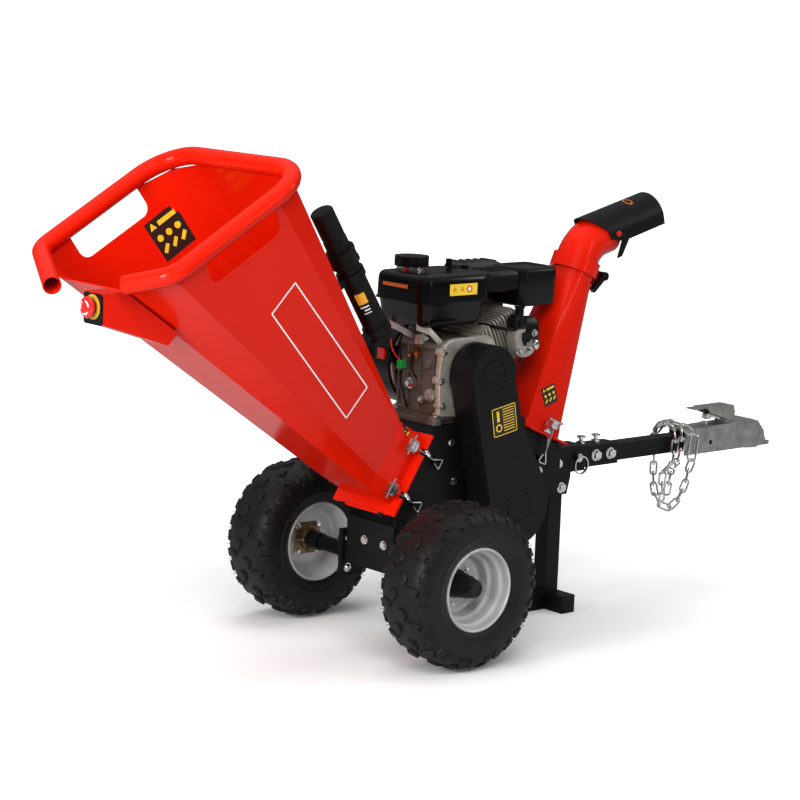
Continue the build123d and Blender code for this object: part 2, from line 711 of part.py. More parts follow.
LATCH_PIN = (30.0, 95.0)         # out from the flange, and out from the middle plane
LATCH_PIN_R = 3.0
LATCH_WIRE_R = 2.0
CHUTE_LATCH_U = 12.0             # down the chute's flange from its middle
KEEPER = (-52.0, -46.0)


def latch_plane(origin, out, side):
    """Section plane of a latch: x out from the flange, y out from the middle plane, normal along the pin."""
    across = Vector(0, side, 0)
    return Plane(origin=origin, x_dir=out, z_dir=Vector(*out).cross(across))


def hopper_latch_plane(up, side):
    out = flange_plane(0).z_dir
    return latch_plane(machine(*hopper_point(0, up)), out, side)


def chute_latch_plane(side):
    base = chute_plane(0)
    return latch_plane(base.origin + base.x_dir * CHUTE_LATCH_U, base.z_dir, side)


def latch_base(frame, seat):
    """Bracket on the side panel: a plate and two cheeks that hold the latch's pin."""
    with BuildSketch(frame.offset(-13)) as plate:
        Polygon((10, seat), (38, seat), (38, 81), (10, 81), align=None)
    extrude(plate.sketch, amount=26)
    for low in (-13, 10):
        with BuildSketch(frame.offset(low)) as cheek:
            Polygon((12, 80.5), (21, 80.5), (34, 91.5), (26, 99), align=None)
            with Locations(LATCH_PIN):
                Circle(5.5)
                Circle(LATCH_PIN_R + FIT, mode=Mode.SUBTRACT)
        extrude(cheek.sketch, amount=3)


def latch(frame):
    """Lever, pin, cross handle, draw rod and its triangular wire loop."""
    out, high = LATCH_PIN
    with BuildSketch(frame.offset(-14)) as pin:
        with Locations(LATCH_PIN):
            Circle(LATCH_PIN_R)
    extrude(pin.sketch, amount=28)
    with BuildSketch(frame.offset(-8.5)) as lever:
        Polygon((out - 8, high - 3), (out + 10, high - 3),
                (out + 10, high + 2.5), (out - 8, high + 2.5), align=None)
    extrude(lever.sketch, amount=17)
    with BuildSketch(frame.offset(-23.5)) as handle:
        with Locations((out + 10, high)):
            Circle(3)
    extrude(handle.sketch, amount=47)
    wire_plane = Plane(origin=frame.from_local_coords(Vector(0, high, 0)),
                       x_dir=frame.x_dir, z_dir=frame.y_dir)
    with BuildLine(wire_plane) as wire:
        FilletPolyline((out - 7, 0), (-35, 0), (-60, -13), (-60, 13), (-41, 5.5), radius=3.5)
    with BuildSketch(Plane(origin=wire.line @ 0, z_dir=wire.line % 0)) as section:
        Circle(LATCH_WIRE_R)
    sweep(section.sketch, path=wire.line)


def keeper(frame):
    """Hook on the housing's side that the wire loop is pulled over."""
    low, high = KEEPER
    with BuildSketch(frame.offset(-8)) as hook:
        Polygon((low, HOUSING_Y), (high, HOUSING_Y), (high, 87), (high - 1, 90), (low - 6, 90),
                (low - 6, 87.5),
                (low, 87.5), align=None)
    extrude(hook.sketch, amount=16)


HOPPER_LATCHES = [hopper_latch_plane(up, side) for side in (-1, 1) for up in LATCH_UP]
CHUTE_LATCHES = [chute_latch_plane(side) for side in (-1, 1)]

with BuildPart() as hopper_latch_bases:
    for frame in HOPPER_LATCHES:
        latch_base(frame, NECK_W / 2)
save(hopper_latch_bases, "hopper_latch_bases")

with BuildPart() as chute_latch_bases:
    for frame in CHUTE_LATCHES:
        latch_base(frame, 75.2)
save(chute_latch_bases, "chute_latch_bases")

for group, frames in (("hopper", HOPPER_LATCHES), ("chute", CHUTE_LATCHES)):
    for number, frame in enumerate(frames, start=1):
        with BuildPart() as wire_latch:
            latch(frame)
        save(wire_latch, f"{group}_latch_{number}")

CHUTE_PIN = chute_plane(2.5).origin + chute_plane(0).x_dir * 68 - Vector(AXLE_X, 0, 0)

with BuildPart() as housing_hooks:
    for frame in HOPPER_LATCHES + CHUTE_LATCHES:
        keeper(frame)
    # open hooks that carry the hinge pins of the hopper and of the chute
    for y in (72, -58):
        for x, z, back, drop in ((HOPPER_PIN[0], HOPPER_PIN[2], 46, 14), (CHUTE_PIN.X, CHUTE_PIN.Z, -8, 30)):
            side_rod(x, z, 9, y, y - 14)
            side_block([(x - 6, z - 4), (x + 6, z - 4), (x + back, z - drop),
                        (x + back, z - drop - 5), (x - 2, z - 9)],
                       y, y - 14)
            side_rod(x, z, HINGE_R + FIT, y + 1, y - 15, mode=Mode.SUBTRACT)
    for y in (73, -57):
        side_block([hopper_point(-12, -0.8), hopper_point(14, -0.8),
                        hopper_point(14, 14), hopper_point(-12, 14)],
                   y, y - 16, mode=Mode.SUBTRACT)
        x, z = CHUTE_PIN.X, CHUTE_PIN.Z
        side_block([(x - 14, z - 1.8), (x + 14, z - 1.8), (x + 14, z + 20), (x - 14, z + 20)], y, y - 16,
                   mode=Mode.SUBTRACT)
        with BuildSketch(side_plane(y)):
            add(housing_outline(-0.1))
            make_face()
        extrude(amount=16, mode=Mode.SUBTRACT)
save(housing_hooks, "housing_hooks")

# ---------------------------------------------------------------- document canister

CANISTER_TOP = (-262.0, -85.0, 960.0)
CANISTER_DIR = (0.54, 0.0, -0.842)
CANISTER_LEN = 320.0
CANISTER_R = 26.5
CAP_LEN = 95.0
COLLAR_END = 133.0
CLAMPS = ((150.0, 57.6), (290.0, 51.2))     # distance down the tube, and from its axis to the panel
PANEL_OUT = (0.8137, 0.0, 0.5813)           # normal of the hopper's top panel


def canister_plane(along):
    """Plane across the canister, at a distance down from its top."""
    direction = Vector(*CANISTER_DIR).normalized()
    return Plane(origin=machine(*CANISTER_TOP) + direction * along, x_dir=(0, 1, 0), z_dir=direction)


with BuildPart() as canister_tube:
    for start, end, radius in ((CAP_LEN, COLLAR_END, 32), (COLLAR_END, CANISTER_LEN, CANISTER_R)):
        with BuildSketch(canister_plane(start)):
            Circle(radius)
        extrude(amount=end - start)
    with BuildSketch(canister_plane(CAP_LEN)):
        Circle(23)
    extrude(amount=CANISTER_LEN - CAP_LEN - 4, mode=Mode.SUBTRACT)
save(canister_tube, "canister_tube")

with BuildPart() as canister_cap:
    with BuildSketch(canister_plane(0)):
        Circle(25)
    extrude(amount=CAP_LEN - 0.3)
    with BuildSketch(canister_plane(CAP_LEN - 1)):
        Circle(23 - FIT)
    extrude(amount=24)
save(canister_cap, "canister_cap")

with BuildPart() as canister_clamps:
    for along, height in CLAMPS:
        with BuildSketch(canister_plane(along)):
            Circle(CANISTER_R + 4)
            Circle(CANISTER_R + 0.1, mode=Mode.SUBTRACT)
        extrude(amount=16)
        out = Vector(*PANEL_OUT)
        centre = canister_plane(along + 8).origin
        with BuildSketch(Plane(origin=centre - out * (CANISTER_R + 2), x_dir=(0, 1, 0), z_dir=out * -1)):
            Rectangle(22, 14)
        extrude(amount=height - CANISTER_R - 2)
save(canister_clamps, "canister_clamps")

# ---------------------------------------------------------------- chute

SPIGOT = 36.0            # straight round end of the chute, inside the elbow's collar
COLLAR_R = 56.0
COLLAR_BELOW = 23.0      # of the collar, below and above the end of the spigot
COLLAR_ABOVE = 10.0
CLAMP = (70.0, -4.0)     # the clamp's cam: out from the chute's axis, and up from the end of the spigot
CLAMP_ARM = (-19.0, -39.0)

with BuildPart() as chute_body:
    for inset, mode in ((0, Mode.ADD), (SHEET, Mode.SUBTRACT)):
        with BuildSketch(chute_plane(0)):
            Rectangle(CHUTE_BASE[0] - 2 * inset, CHUTE_BASE[1] - 2 * inset)
        with BuildSketch(chute_plane(CHUTE_LEN - SPIGOT)):
            Circle(CHUTE_R - inset)
        loft(mode=mode)
    with BuildSketch(chute_plane(CHUTE_LEN - SPIGOT)):
        Circle(CHUTE_R)
        Circle(CHUTE_R - SHEET, mode=Mode.SUBTRACT)
    extrude(amount=SPIGOT)
    with BuildSketch(chute_plane(0)):
        with Locations((1, 0)):
            Rectangle(130, 200)
        Rectangle(CHUTE_BASE[0] - 2 * SHEET, CHUTE_BASE[1] - 2 * SHEET, mode=Mode.SUBTRACT)
        for side in (-1, 1):
            with Locations((CHUTE_LATCH_U, side * 94)):
                Rectangle(16, 14, mode=Mode.SUBTRACT)
    extrude(amount=5)
    side_rod(CHUTE_PIN.X, CHUTE_PIN.Z, HINGE_R, 72, -72)
save(chute_body, "chute_body")

ELBOW_CORNER = (586.0, 855.0)
ELBOW_LEAN = radians(ELBOW_END_LEAN)
ELBOW_OUT = (sin(ELBOW_LEAN), cos(ELBOW_LEAN))
OUTLET_LEN = 76.0        # from the elbow's corner to the outlet
PIVOT = (646.0, 875.0)   # pivot bolts of the deflector
HOOD_R = 54.0

with BuildPart() as chute_elbow:
    base = chute_plane(CHUTE_LEN + GAP)
    start = base.origin - Vector(AXLE_X, 0, 0)
    end = (ELBOW_CORNER[0] + OUTLET_LEN * ELBOW_OUT[0], 0, ELBOW_CORNER[1] + OUTLET_LEN * ELBOW_OUT[1])
    with BuildLine() as path:
        FilletPolyline(machine(start.X, 0, start.Z),
                       machine(ELBOW_CORNER[0], 0, ELBOW_CORNER[1]), machine(*end),
                       radius=ELBOW_R)
    with BuildSketch(base):
        Circle(CHUTE_R)
        Circle(CHUTE_R - SHEET, mode=Mode.SUBTRACT)
    sweep()
    with BuildSketch(chute_plane(CHUTE_LEN - COLLAR_BELOW)):
        Circle(COLLAR_R)
        Circle(CHUTE_R + GAP, mode=Mode.SUBTRACT)
    extrude(amount=COLLAR_BELOW + 2 * GAP)
    with BuildSketch(chute_plane(CHUTE_LEN + GAP)):
        Circle(COLLAR_R)
        Circle(CHUTE_R - 1, mode=Mode.SUBTRACT)
    extrude(amount=COLLAR_ABOVE)
    # split lug of the clamp band, with the cam handle's bore
    with BuildSketch(chute_plane(CHUTE_LEN - 33)):
        with Locations((COLLAR_R + 9, -8)):
            Rectangle(26, 24)
    extrude(amount=38)
    lug = chute_plane(CHUTE_LEN + CLAMP[1])
    lug_axis = Plane(origin=lug.origin + lug.x_dir * CLAMP[0] - Vector(0, 30, 0),
                     x_dir=lug.x_dir, z_dir=(0, 1, 0))
    with BuildSketch(lug_axis):
        Circle(4 + FIT)
    extrude(amount=60, mode=Mode.SUBTRACT)
    # pivot bolts of the deflector
    for side in (-1, 1):
        rod((PIVOT[0], side * (CHUTE_R - 3.5), PIVOT[1]), (PIVOT[0], side * 62, PIVOT[1]), 5)
    with BuildSketch(base):
        Circle(CHUTE_R - SHEET)
    sweep(path=path.line, mode=Mode.SUBTRACT)
save(chute_elbow, "chute_elbow")

with BuildPart() as clamp_handle:
    with BuildSketch(lug_axis.offset(-8)):
        Circle(10)
    extrude(amount=17.6)
    with BuildSketch(lug_axis.offset(5)):
        Circle(4)
    extrude(amount=44)
    arm = lug.x_dir * CLAMP_ARM[0] + lug.z_dir * CLAMP_ARM[1]
    with BuildSketch(Plane(origin=lug_axis.origin - Vector(0, 1, 0), x_dir=(0, 1, 0), z_dir=arm)):
        Rectangle(12, 12)
    extrude(amount=arm.length + 5)
save(clamp_handle, "clamp_handle")

HOOD_BACK = -72.0        # along the outlet from the pivot
HOOD_FRONT = 155.0
HOOD_SKIRT = 38.0
HOOD_SHEET = 2.5

with BuildPart() as deflector:
    # sheet-metal hood: a half tube with straight skirts, its back edge cut off at a slant
    a = ELBOW_LEAN
    centre = Vector(PIVOT[0], 0, PIVOT[1]) - Vector(-cos(a), 0, sin(a)) * 4.4
    hood = Plane(origin=machine(centre.X, 0, centre.Z), x_dir=(0, 1, 0), z_dir=(sin(a), 0, cos(a)))
    with BuildSketch(hood.offset(HOOD_BACK)):
        for radius, mode in ((HOOD_R, Mode.ADD), (HOOD_R - HOOD_SHEET, Mode.SUBTRACT)):
            Circle(radius, mode=mode)
        up = 1 if hood.y_dir.Z > 0 else -1
        with Locations((0, -up * HOOD_R / 2)):
            Rectangle(2 * HOOD_R, HOOD_R, mode=Mode.SUBTRACT)
        for side in (-1, 1):
            with Locations((side * (HOOD_R - HOOD_SHEET / 2), -up * HOOD_SKIRT / 2)):
                Rectangle(HOOD_SHEET, HOOD_SKIRT)
    extrude(amount=HOOD_FRONT - HOOD_BACK)
    side_block([(500, 800), (640, 800), (652, 858), (628, 862), (618, 880), (576, 906), (500, 906)], 70, -70,
               mode=Mode.SUBTRACT)
    side_block([(640, 800), (652, 858), (672, 858), (800, 892), (860, 900), (860, 800)], 70, -70,
               mode=Mode.SUBTRACT)
    side_rod(*PIVOT, 5 + FIT, 70, -70, mode=Mode.SUBTRACT)
    # handles that hang from the skirts
    for y in (-HOOD_R, HOOD_R - 4):
        side_block([(664, 862), (688, 868), (664, 822), (650, 818)], y + 4, y)
save(deflector, "deflector")

# ---------------------------------------------------------------- support leg

with BuildPart() as support_leg:
    # square leg with a rounded top between the cheeks, and its cross foot
    half = LEG_W / 2
    block((LEG_X - half, LEG_X + half), (-half, half), (41, LEG_PIVOT_Z))
    side_rod(LEG_X, LEG_PIVOT_Z, half, half, -half)
    side_rod(LEG_X, LEG_PIVOT_Z, 6 + FIT, half + 1, -half - 1, mode=Mode.SUBTRACT)
    block((LEG_X - half, LEG_X + half), (-78, 78), (0, 41))
    block((LEG_X - 72, LEG_X - half), (-half, half), (0, 41))
save(support_leg, "support_leg")

# ---------------------------------------------------------------- tow bar and coupler

with BuildPart() as tow_bar:
    half = OUTER_TUBE / 2
    block((470, OUTER_END), (-half, half), (BAR_Z - half, BAR_Z + half))
    block((469, OUTER_END - 100), (-half + 4, half - 4),
              (BAR_Z - half + 4, BAR_Z + half - 4), mode=Mode.SUBTRACT)
    half = INNER_BAR / 2
    block((OUTER_END - 90, BAR_END), (-half, half), (BAR_Z - half, BAR_Z + half))
    side_rod(573, BAR_Z + 3, 6 + FIT, OUTER_TUBE, -OUTER_TUBE, mode=Mode.SUBTRACT)
save(tow_bar, "tow_bar")

with BuildPart() as lock_pin:
    # cross pin through socket and bar, with its pull ring
    side_rod(573, BAR_Z + 3, 6, 40, -40)
    side_rod(573, BAR_Z + 3, 10, -36, -40)
    with BuildSketch(Plane(origin=machine(573, -45, BAR_Z - 13), z_dir=(0, -1, 0))) as ring:
        Circle(22)
        Circle(19, mode=Mode.SUBTRACT)
    extrude(ring.sketch, amount=3, both=True)
    side_rod(573, BAR_Z + 6, 4, -38, -46)
save(lock_pin, "lock_pin")

COUPLER_Y = 28.0
BALL_R = 25.4
BALL_X = 1184.0
LEVER_PIN = (1112.0, 405.0)
CLAW_PIN = (1114.0, 346.0)

with BuildPart() as coupler_body:
    # pressed channel that straddles the bar, closed by the ball dome at its nose
    start = COUPLER[0]
    end = COUPLER[1]
    outline = [
        (start, 320), (start, 383), (start + 160, 386), (1140, 389), (1184, 391), (1208, 384), (1232, 358),
        (1240, 332), (end, 330), (end, 320),
    ]
    side_block(outline, COUPLER_Y, -COUPLER_Y)
    with BuildSketch(Plane.XY.offset(320)):
        with Locations(machine(BALL_X, 0, 0)):
            Circle(COUPLER_Y + 12)
    extrude(amount=60)
    block((start - 1, BALL_X - BALL_R - 12), (-COUPLER_Y + 4, COUPLER_Y - 4), (319, 379), mode=Mode.SUBTRACT)
    with BuildSketch(Plane.XY.offset(319)):
        with Locations(machine(BALL_X, 0, 0)):
            Circle(BALL_R + 0.5)
    extrude(amount=30, mode=Mode.SUBTRACT)
    with Locations(machine(BALL_X, 0, 349)):
        Sphere(BALL_R + 0.5, mode=Mode.SUBTRACT)
    # slot in the socket's rear wall for the claw, and the lever's two ears
    block((BALL_X - BALL_R - 14, BALL_X - BALL_R + 4), (-15, 15), (319, 368), mode=Mode.SUBTRACT)
    for y in (17, -13):
        side_block([(1096, 386), (1128, 386), (1122, 410), (1112, 414), (1102, 410)], y, y - 4)
    side_rod(*LEVER_PIN, 4 + FIT, 30, -30, mode=Mode.SUBTRACT)
    side_rod(*CLAW_PIN, 4, COUPLER_Y + 2, -COUPLER_Y - 2)
    for y in (COUPLER_Y + 2, -COUPLER_Y):
        side_rod(*CLAW_PIN, 6.5, y, y - 2)
    side_rod(1037, 345, 6, COUPLER_Y + 1, -COUPLER_Y - 1, mode=Mode.SUBTRACT)
save(coupler_body, "coupler_body")

with BuildPart() as coupler_lever:
    # latch lever: a pressed channel, open below, that narrows to a thumb tab
    for y in (23, -20):
        side_block([(1024, 430), (1120, 430), (1126, 412), (1123, 397),
                    (1112, 392), (1100, 395), (1036, 416)],
                   y, y - 3)
    block((1022, 1120), (-21, 21), (427, 430))
    block((988, 1024), (-15, 15), (426.5, 429.5))
    side_rod(*LEVER_PIN, 4, 24, -24)
    for x, z in ((1081, 418), (1111, 419)):
        for side in (-1, 1):
            side_rod(x, z, 3.5, side * 24 + 1, side * 24 - 1)
save(coupler_lever, "coupler_lever")

with BuildPart() as coupler_trigger:
    # safety catch inside the lever, on the same pin
    side_block([(1036, 403), (1042, 412), (1076, 416), (1104, 416), (1121, 408), (1121, 398), (1104, 394),
                (1086, 395), (1062, 402), (1046, 397)], 8, -8)
    side_rod(*LEVER_PIN, 4 + FIT, 9, -9, mode=Mode.SUBTRACT)
save(coupler_trigger, "coupler_trigger")

with BuildPart() as coupler_claw:
    # under-jaw that closes against the ball from behind
    side_block([(1104, 328), (1140, 328), (1157, 336), (1157, 350), (1140, 364), (1104, 364)], 13, -13)
    side_rod(*CLAW_PIN, 4 + FIT, 15, -15, mode=Mode.SUBTRACT)
save(coupler_claw, "coupler_claw")

with BuildPart() as tow_bolts:
    # thumb bolts on top, the cross bolts' heads and nuts, and the coupler's bolt
    for x, top in ((614, BAR_Z + OUTER_TUBE / 2), (663, BAR_Z + OUTER_TUBE / 2)):
        rod((x, 0, top), (x, 0, top + 7), 11)
        rod((x, 0, top + 7), (x, 0, top + 16), 5)
        rod((x, 0, top + 16), (x, 0, top + 20), 11)
    for x in (640, 688):
        for side in (-1, 1):
            bolt((x, side * OUTER_TUBE / 2, BAR_Z + 1), (0, side, 0), 11, head=9)
    bolt((1039, 0, 385), (0, 0, 1), 9, head=6)
save(tow_bolts, "tow_bolts")

with BuildPart() as frame_fasteners:
    for side in (-1, 1):
        for x, z in ((-20, 209), (20, 209), (-20, 137), (20, 137)):
            bolt((x, side * 100, z), (0, side, 0), 9)
        for y in (-48, 16):
            if side < 0:
                bolt((-26, y, 222), (-1, 0, 0), 8)
        bolt((505, side * 35, 347), (0, side, 0), 10, head=7)
        for x, z in ((139, 353), (128, 440), (400, 350)):
            bolt((x, side * HOUSING_Y, z), (0, side, 0), 7)
    # through bolt of the leg
    side_rod(LEG_X, LEG_PIVOT_Z, 6, 35, -35)
    for side in (-1, 1):
        bolt((LEG_X, side * 35, LEG_PIVOT_Z), (0, side, 0), 10, head=7)
save(frame_fasteners, "frame_fasteners")

# safety chain: a loop over the bar that hangs below it, closed by a long hook link

WIRE_R = 2.9
LINK_PITCH = 25.6
LINK_BEND = 7.4          # from a link's middle line to the middle of its wire
HOOK_LENGTH = 60.0       # inside the hook link
HOOK_BEND = 9.5
HOOK_TOP = (960, -44, 372)
CHAIN_ROUTE = [
    (950, -43, 298), (943, -42, 276), (938, -40, 252), (931, -34, 228), (924, -24, 206), (914, -11, 194),
    (903, 3, 200), (897, 16, 222), (899, 27, 252), (901, 31, 285), (902, 33, 320), (903, 34, 352),
    (906, 30, 380), (911, 14, 397), (920, -6, 400), (932, -26, 394), (944, -40, 382),
]


def chain_points():
    """Place and direction of each link, at even steps along the route."""
    with BuildLine():
        route = Spline(*[machine(*point) for point in CHAIN_ROUTE])
    for step in range(int(route.length / LINK_PITCH) + 1):
        along = step * LINK_PITCH
        place = route.position_at(along, position_mode=PositionMode.LENGTH)
        direction = route.tangent_at(along, position_mode=PositionMode.LENGTH)
        yield place, direction


def chain_link(place, direction, roll, inside, bend):
    """One oval link of round wire, rolled about the chain's direction."""
    along = direction.normalized()
    level = (Vector(1, 0, 0) - along * along.X).normalized()
    a = radians(roll)
    normal = level * cos(a) + along.cross(level) * sin(a)
    side = normal.cross(along)
    straight = inside - 2 * bend + 2 * WIRE_R
    for end in (-1, 1):
        centre = place + along * (end * straight / 2)
        with BuildSketch(Plane(origin=centre + side * bend, x_dir=side, z_dir=along)) as wire:
            Circle(WIRE_R)
        revolve(wire.sketch, axis=Axis(centre, normal * -end), revolution_arc=180)
        with BuildSketch(Plane(origin=place + side * (end * bend) - along * (straight / 2),
                               z_dir=along)) as wire:
            Circle(WIRE_R)
        extrude(wire.sketch, amount=straight)


with BuildPart() as safety_chain:
    links = list(chain_points())
    for number, (place, direction) in enumerate(links):
        chain_link(place, direction, 45 if number % 2 else -45, LINK_PITCH + 2, LINK_BEND)
    hook_end = links[0][0]
    hook_axis = machine(*HOOK_TOP) - hook_end
    hook_middle = hook_end + hook_axis.normalized() * ((LINK_PITCH + HOOK_LENGTH) / 2 + 1)
    chain_link(hook_middle, hook_axis, 45, HOOK_LENGTH, HOOK_BEND)
save(safety_chain, "safety_chain")
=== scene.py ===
"""Looks of the towable wood chipper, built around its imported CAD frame."""
from math import cos, hypot, pi, radians, sin

import bmesh
import bpy
from mathutils import Matrix, Vector


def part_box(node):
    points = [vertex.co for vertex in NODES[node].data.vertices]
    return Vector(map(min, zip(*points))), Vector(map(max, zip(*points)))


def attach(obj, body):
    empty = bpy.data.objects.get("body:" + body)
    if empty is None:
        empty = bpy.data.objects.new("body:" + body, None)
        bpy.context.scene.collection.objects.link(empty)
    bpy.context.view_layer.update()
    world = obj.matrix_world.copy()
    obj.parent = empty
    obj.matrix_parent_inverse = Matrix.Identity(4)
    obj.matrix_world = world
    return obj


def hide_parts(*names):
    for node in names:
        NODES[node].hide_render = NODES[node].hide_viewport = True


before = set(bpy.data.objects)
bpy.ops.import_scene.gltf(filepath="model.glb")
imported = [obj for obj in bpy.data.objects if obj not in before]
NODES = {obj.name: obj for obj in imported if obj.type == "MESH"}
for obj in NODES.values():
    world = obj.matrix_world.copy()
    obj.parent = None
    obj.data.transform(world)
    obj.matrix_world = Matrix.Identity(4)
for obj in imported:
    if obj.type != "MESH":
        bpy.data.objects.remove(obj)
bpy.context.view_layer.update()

MM = 0.001

# directions: the feed mouth is at the back, and the camera stands on the near side
BACK, NEAR, UP, DOWN, FAR = (-1, 0, 0), (0, -1, 0), (0, 0, 1), (0, 0, -1), (0, 1, 0)


def middle(node):
    """Centre of a CAD node's box, in metres."""
    low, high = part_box(node)
    return (low + high) / 2


AXLE = middle("left_rim").x          # the wheel axle's place along the machine
WHEEL_Y = middle("left_rim").y
TYRE_R = middle("left_tyre").z


def at(x, y, z):
    """A point in metres from millimetres behind or ahead of the axle, off the middle plane, and up."""
    return Vector((AXLE + x * MM, y * MM, z * MM))


# ---------------------------------------------------------------- camera, light and floor

CAMERA_AT = (-3474.6, -4015.4, 1446.0)
CAMERA_TURN = -41.25
CAMERA_DOWN = 9.746
CAMERA_ROLL = 2.1875
LENS = 111.81
SENSOR = 36
FARTHEST_SEEN = 60


def make_camera():
    """The camera of the studio view: a long lens that looks down a little, slightly rolled."""
    camera = bpy.data.objects.new("camera", bpy.data.cameras.new("camera"))
    camera.data.lens = LENS
    camera.data.sensor_width = SENSOR
    camera.data.clip_end = FARTHEST_SEEN
    turn = Matrix.Rotation(radians(CAMERA_TURN), 4, "Z")
    tilt = Matrix.Rotation(radians(90 - CAMERA_DOWN), 4, "X")
    roll = Matrix.Rotation(radians(CAMERA_ROLL), 4, "Z")
    camera.matrix_world = Matrix.Translation(at(*CAMERA_AT)) @ turn @ tilt @ roll
    bpy.context.scene.collection.objects.link(camera)
    bpy.context.scene.camera = camera


def soft_light(name, place, target, size, watts, shape_y=None, mirrored=True):
    """A large soft panel light aimed at a point. One that isn't mirrored leaves no highlight."""
    data = bpy.data.lights.new(name, "AREA")
    data.shape = "RECTANGLE"
    data.size = size
    data.size_y = shape_y or size
    data.energy = watts
    lamp = bpy.data.objects.new(name, data)
    lamp.location = place
    lamp.visible_glossy = mirrored
    lamp.rotation_euler = (Vector(target) - Vector(place)).to_track_quat("-Z", "Y").to_euler()
    bpy.context.scene.collection.objects.link(lamp)


def plug(tree, node, sockets):
    """Give a node's sockets their constants, or link them to the outputs given."""
    for name, value in sockets.items():
        if isinstance(value, bpy.types.NodeSocket):
            tree.links.new(value, node.inputs[name])
        else:
            node.inputs[name].default_value = value


def add_node(tree, kind, sockets=None, **settings):
    """Add a shader node with its settings, and its sockets as in plug."""
    node = tree.nodes.new(f"ShaderNode{kind}")
    for name, value in settings.items():
        setattr(node, name, value)
    plug(tree, node, sockets or {})
    return node


def seen_or_bounced(tree, bounced, seen):
    """One shader where the camera looks straight at a surface, and another for the light it sends on."""
    ray = add_node(tree, "LightPath").outputs["Is Camera Ray"]
    return add_node(tree, "MixShader", {0: ray, 1: bounced, 2: seen}).outputs["Shader"]


def grey(tone):
    """A colour with equal channels."""
    return (tone, tone, tone, 1)


SKY_LOW, SKY_HIGH = 0.05, 0.52       # the light from near the horizon and from overhead
SKY_RISE = (0.1, 0.85)
BACKDROP = 1.1
FLOOR_TONE, FLOOR_BOUNCE = 0.76, 0.45
NEAR_GLOW, FAR_GLOW = 0.0, 1.0
GLOW_REACH = (0.2, 2.4)
FLOOR_REACH, FLOOR_DROP = 30, 0.0005


def make_sky():
    """White surroundings whose light on the machine comes mostly from overhead."""
    world = bpy.data.worlds.new("studio")
    world.use_nodes = True
    tree = world.node_tree
    place = add_node(tree, "TexCoord")
    parts = add_node(tree, "SeparateXYZ", {"Vector": place.outputs["Generated"]})
    rise = add_node(tree, "MapRange", {
        "Value": parts.outputs["Z"], "From Min": SKY_RISE[0], "From Max": SKY_RISE[1],
        "To Min": SKY_LOW, "To Max": SKY_HIGH,
    })
    sky = tree.nodes["Background"]
    plug(tree, sky, {"Color": grey(1), "Strength": rise.outputs["Result"]})
    backdrop = add_node(tree, "Background", {"Color": grey(1), "Strength": BACKDROP})
    both = seen_or_bounced(tree, sky.outputs["Background"], backdrop.outputs["Background"])
    plug(tree, tree.nodes["World Output"], {"Surface": both})
    bpy.context.scene.world = world


def floor_finish():
    """White floor that glows more with its distance, so it meets the surroundings without an edge."""
    surface = bpy.data.materials.new("floor")
    surface.use_nodes = True
    tree = surface.node_tree
    place = add_node(tree, "TexCoord")
    away = add_node(tree, "VectorMath", {0: place.outputs["Object"]}, operation="LENGTH")
    glow = add_node(tree, "MapRange", {
        "Value": away.outputs["Value"], "From Min": GLOW_REACH[0], "From Max": GLOW_REACH[1],
        "To Min": NEAR_GLOW, "To Max": FAR_GLOW,
    }, interpolation_type="SMOOTHSTEP")
    seen = tree.nodes["Principled BSDF"]
    plug(tree, seen, {
        "Base Color": grey(FLOOR_TONE), "Roughness": 0.9, "Specular IOR Level": 0.0,
        "Emission Color": grey(1), "Emission Strength": glow.outputs["Result"],
    })
    bounced = add_node(tree, "BsdfDiffuse", {"Color": grey(FLOOR_BOUNCE)})
    both = seen_or_bounced(tree, bounced.outputs["BSDF"], seen.outputs["BSDF"])
    plug(tree, tree.nodes["Material Output"], {"Surface": both})
    return surface


def make_studio():
    """Surroundings, a pale floor, four broad panels that leave no highlight and three lights that do."""
    make_sky()
    bpy.context.scene.view_settings.view_transform = "Standard"
    soft_light("key", (-2.4, -3.0, 3.4), (0, 0, 0.5), 2.4, 132, mirrored=False)
    soft_light("front", (-3.8, -0.9, 1.1), (-0.5, 0, 0.6), 2.0, 85, mirrored=False)
    soft_light("fill", (2.6, -3.0, 1.6), (0.2, 0, 0.5), 2.0, 24, mirrored=False)
    soft_light("top", (0.0, 0.6, 4.0), (0, 0, 0.5), 2.5, 75, mirrored=False)
    soft_light("shine", (-3.6, -0.4, 1.6), (0, -0.2, 0.3), 0.8, 44)
    soft_light("edge", (3.2, -2.2, 2.4), (0.5, 0, 0.5), 1.0, 16)
    soft_light("strip", (1.1, -3.4, 1.9), (0.1, 0, 0.7), 0.16, 7, shape_y=1.8)
    mesh = bpy.data.meshes.new("floor")
    corners = [(x * FLOOR_REACH, y * FLOOR_REACH, 0) for x, y in ((-1, -1), (1, -1), (1, 1), (-1, 1))]
    mesh.from_pydata(corners, [], [(0, 1, 2, 3)])
    floor = bpy.data.objects.new("floor", mesh)
    bpy.context.scene.collection.objects.link(floor)
    floor.location.z = -FLOOR_DROP
    mesh.materials.append(floor_finish())


# ---------------------------------------------------------------- materials


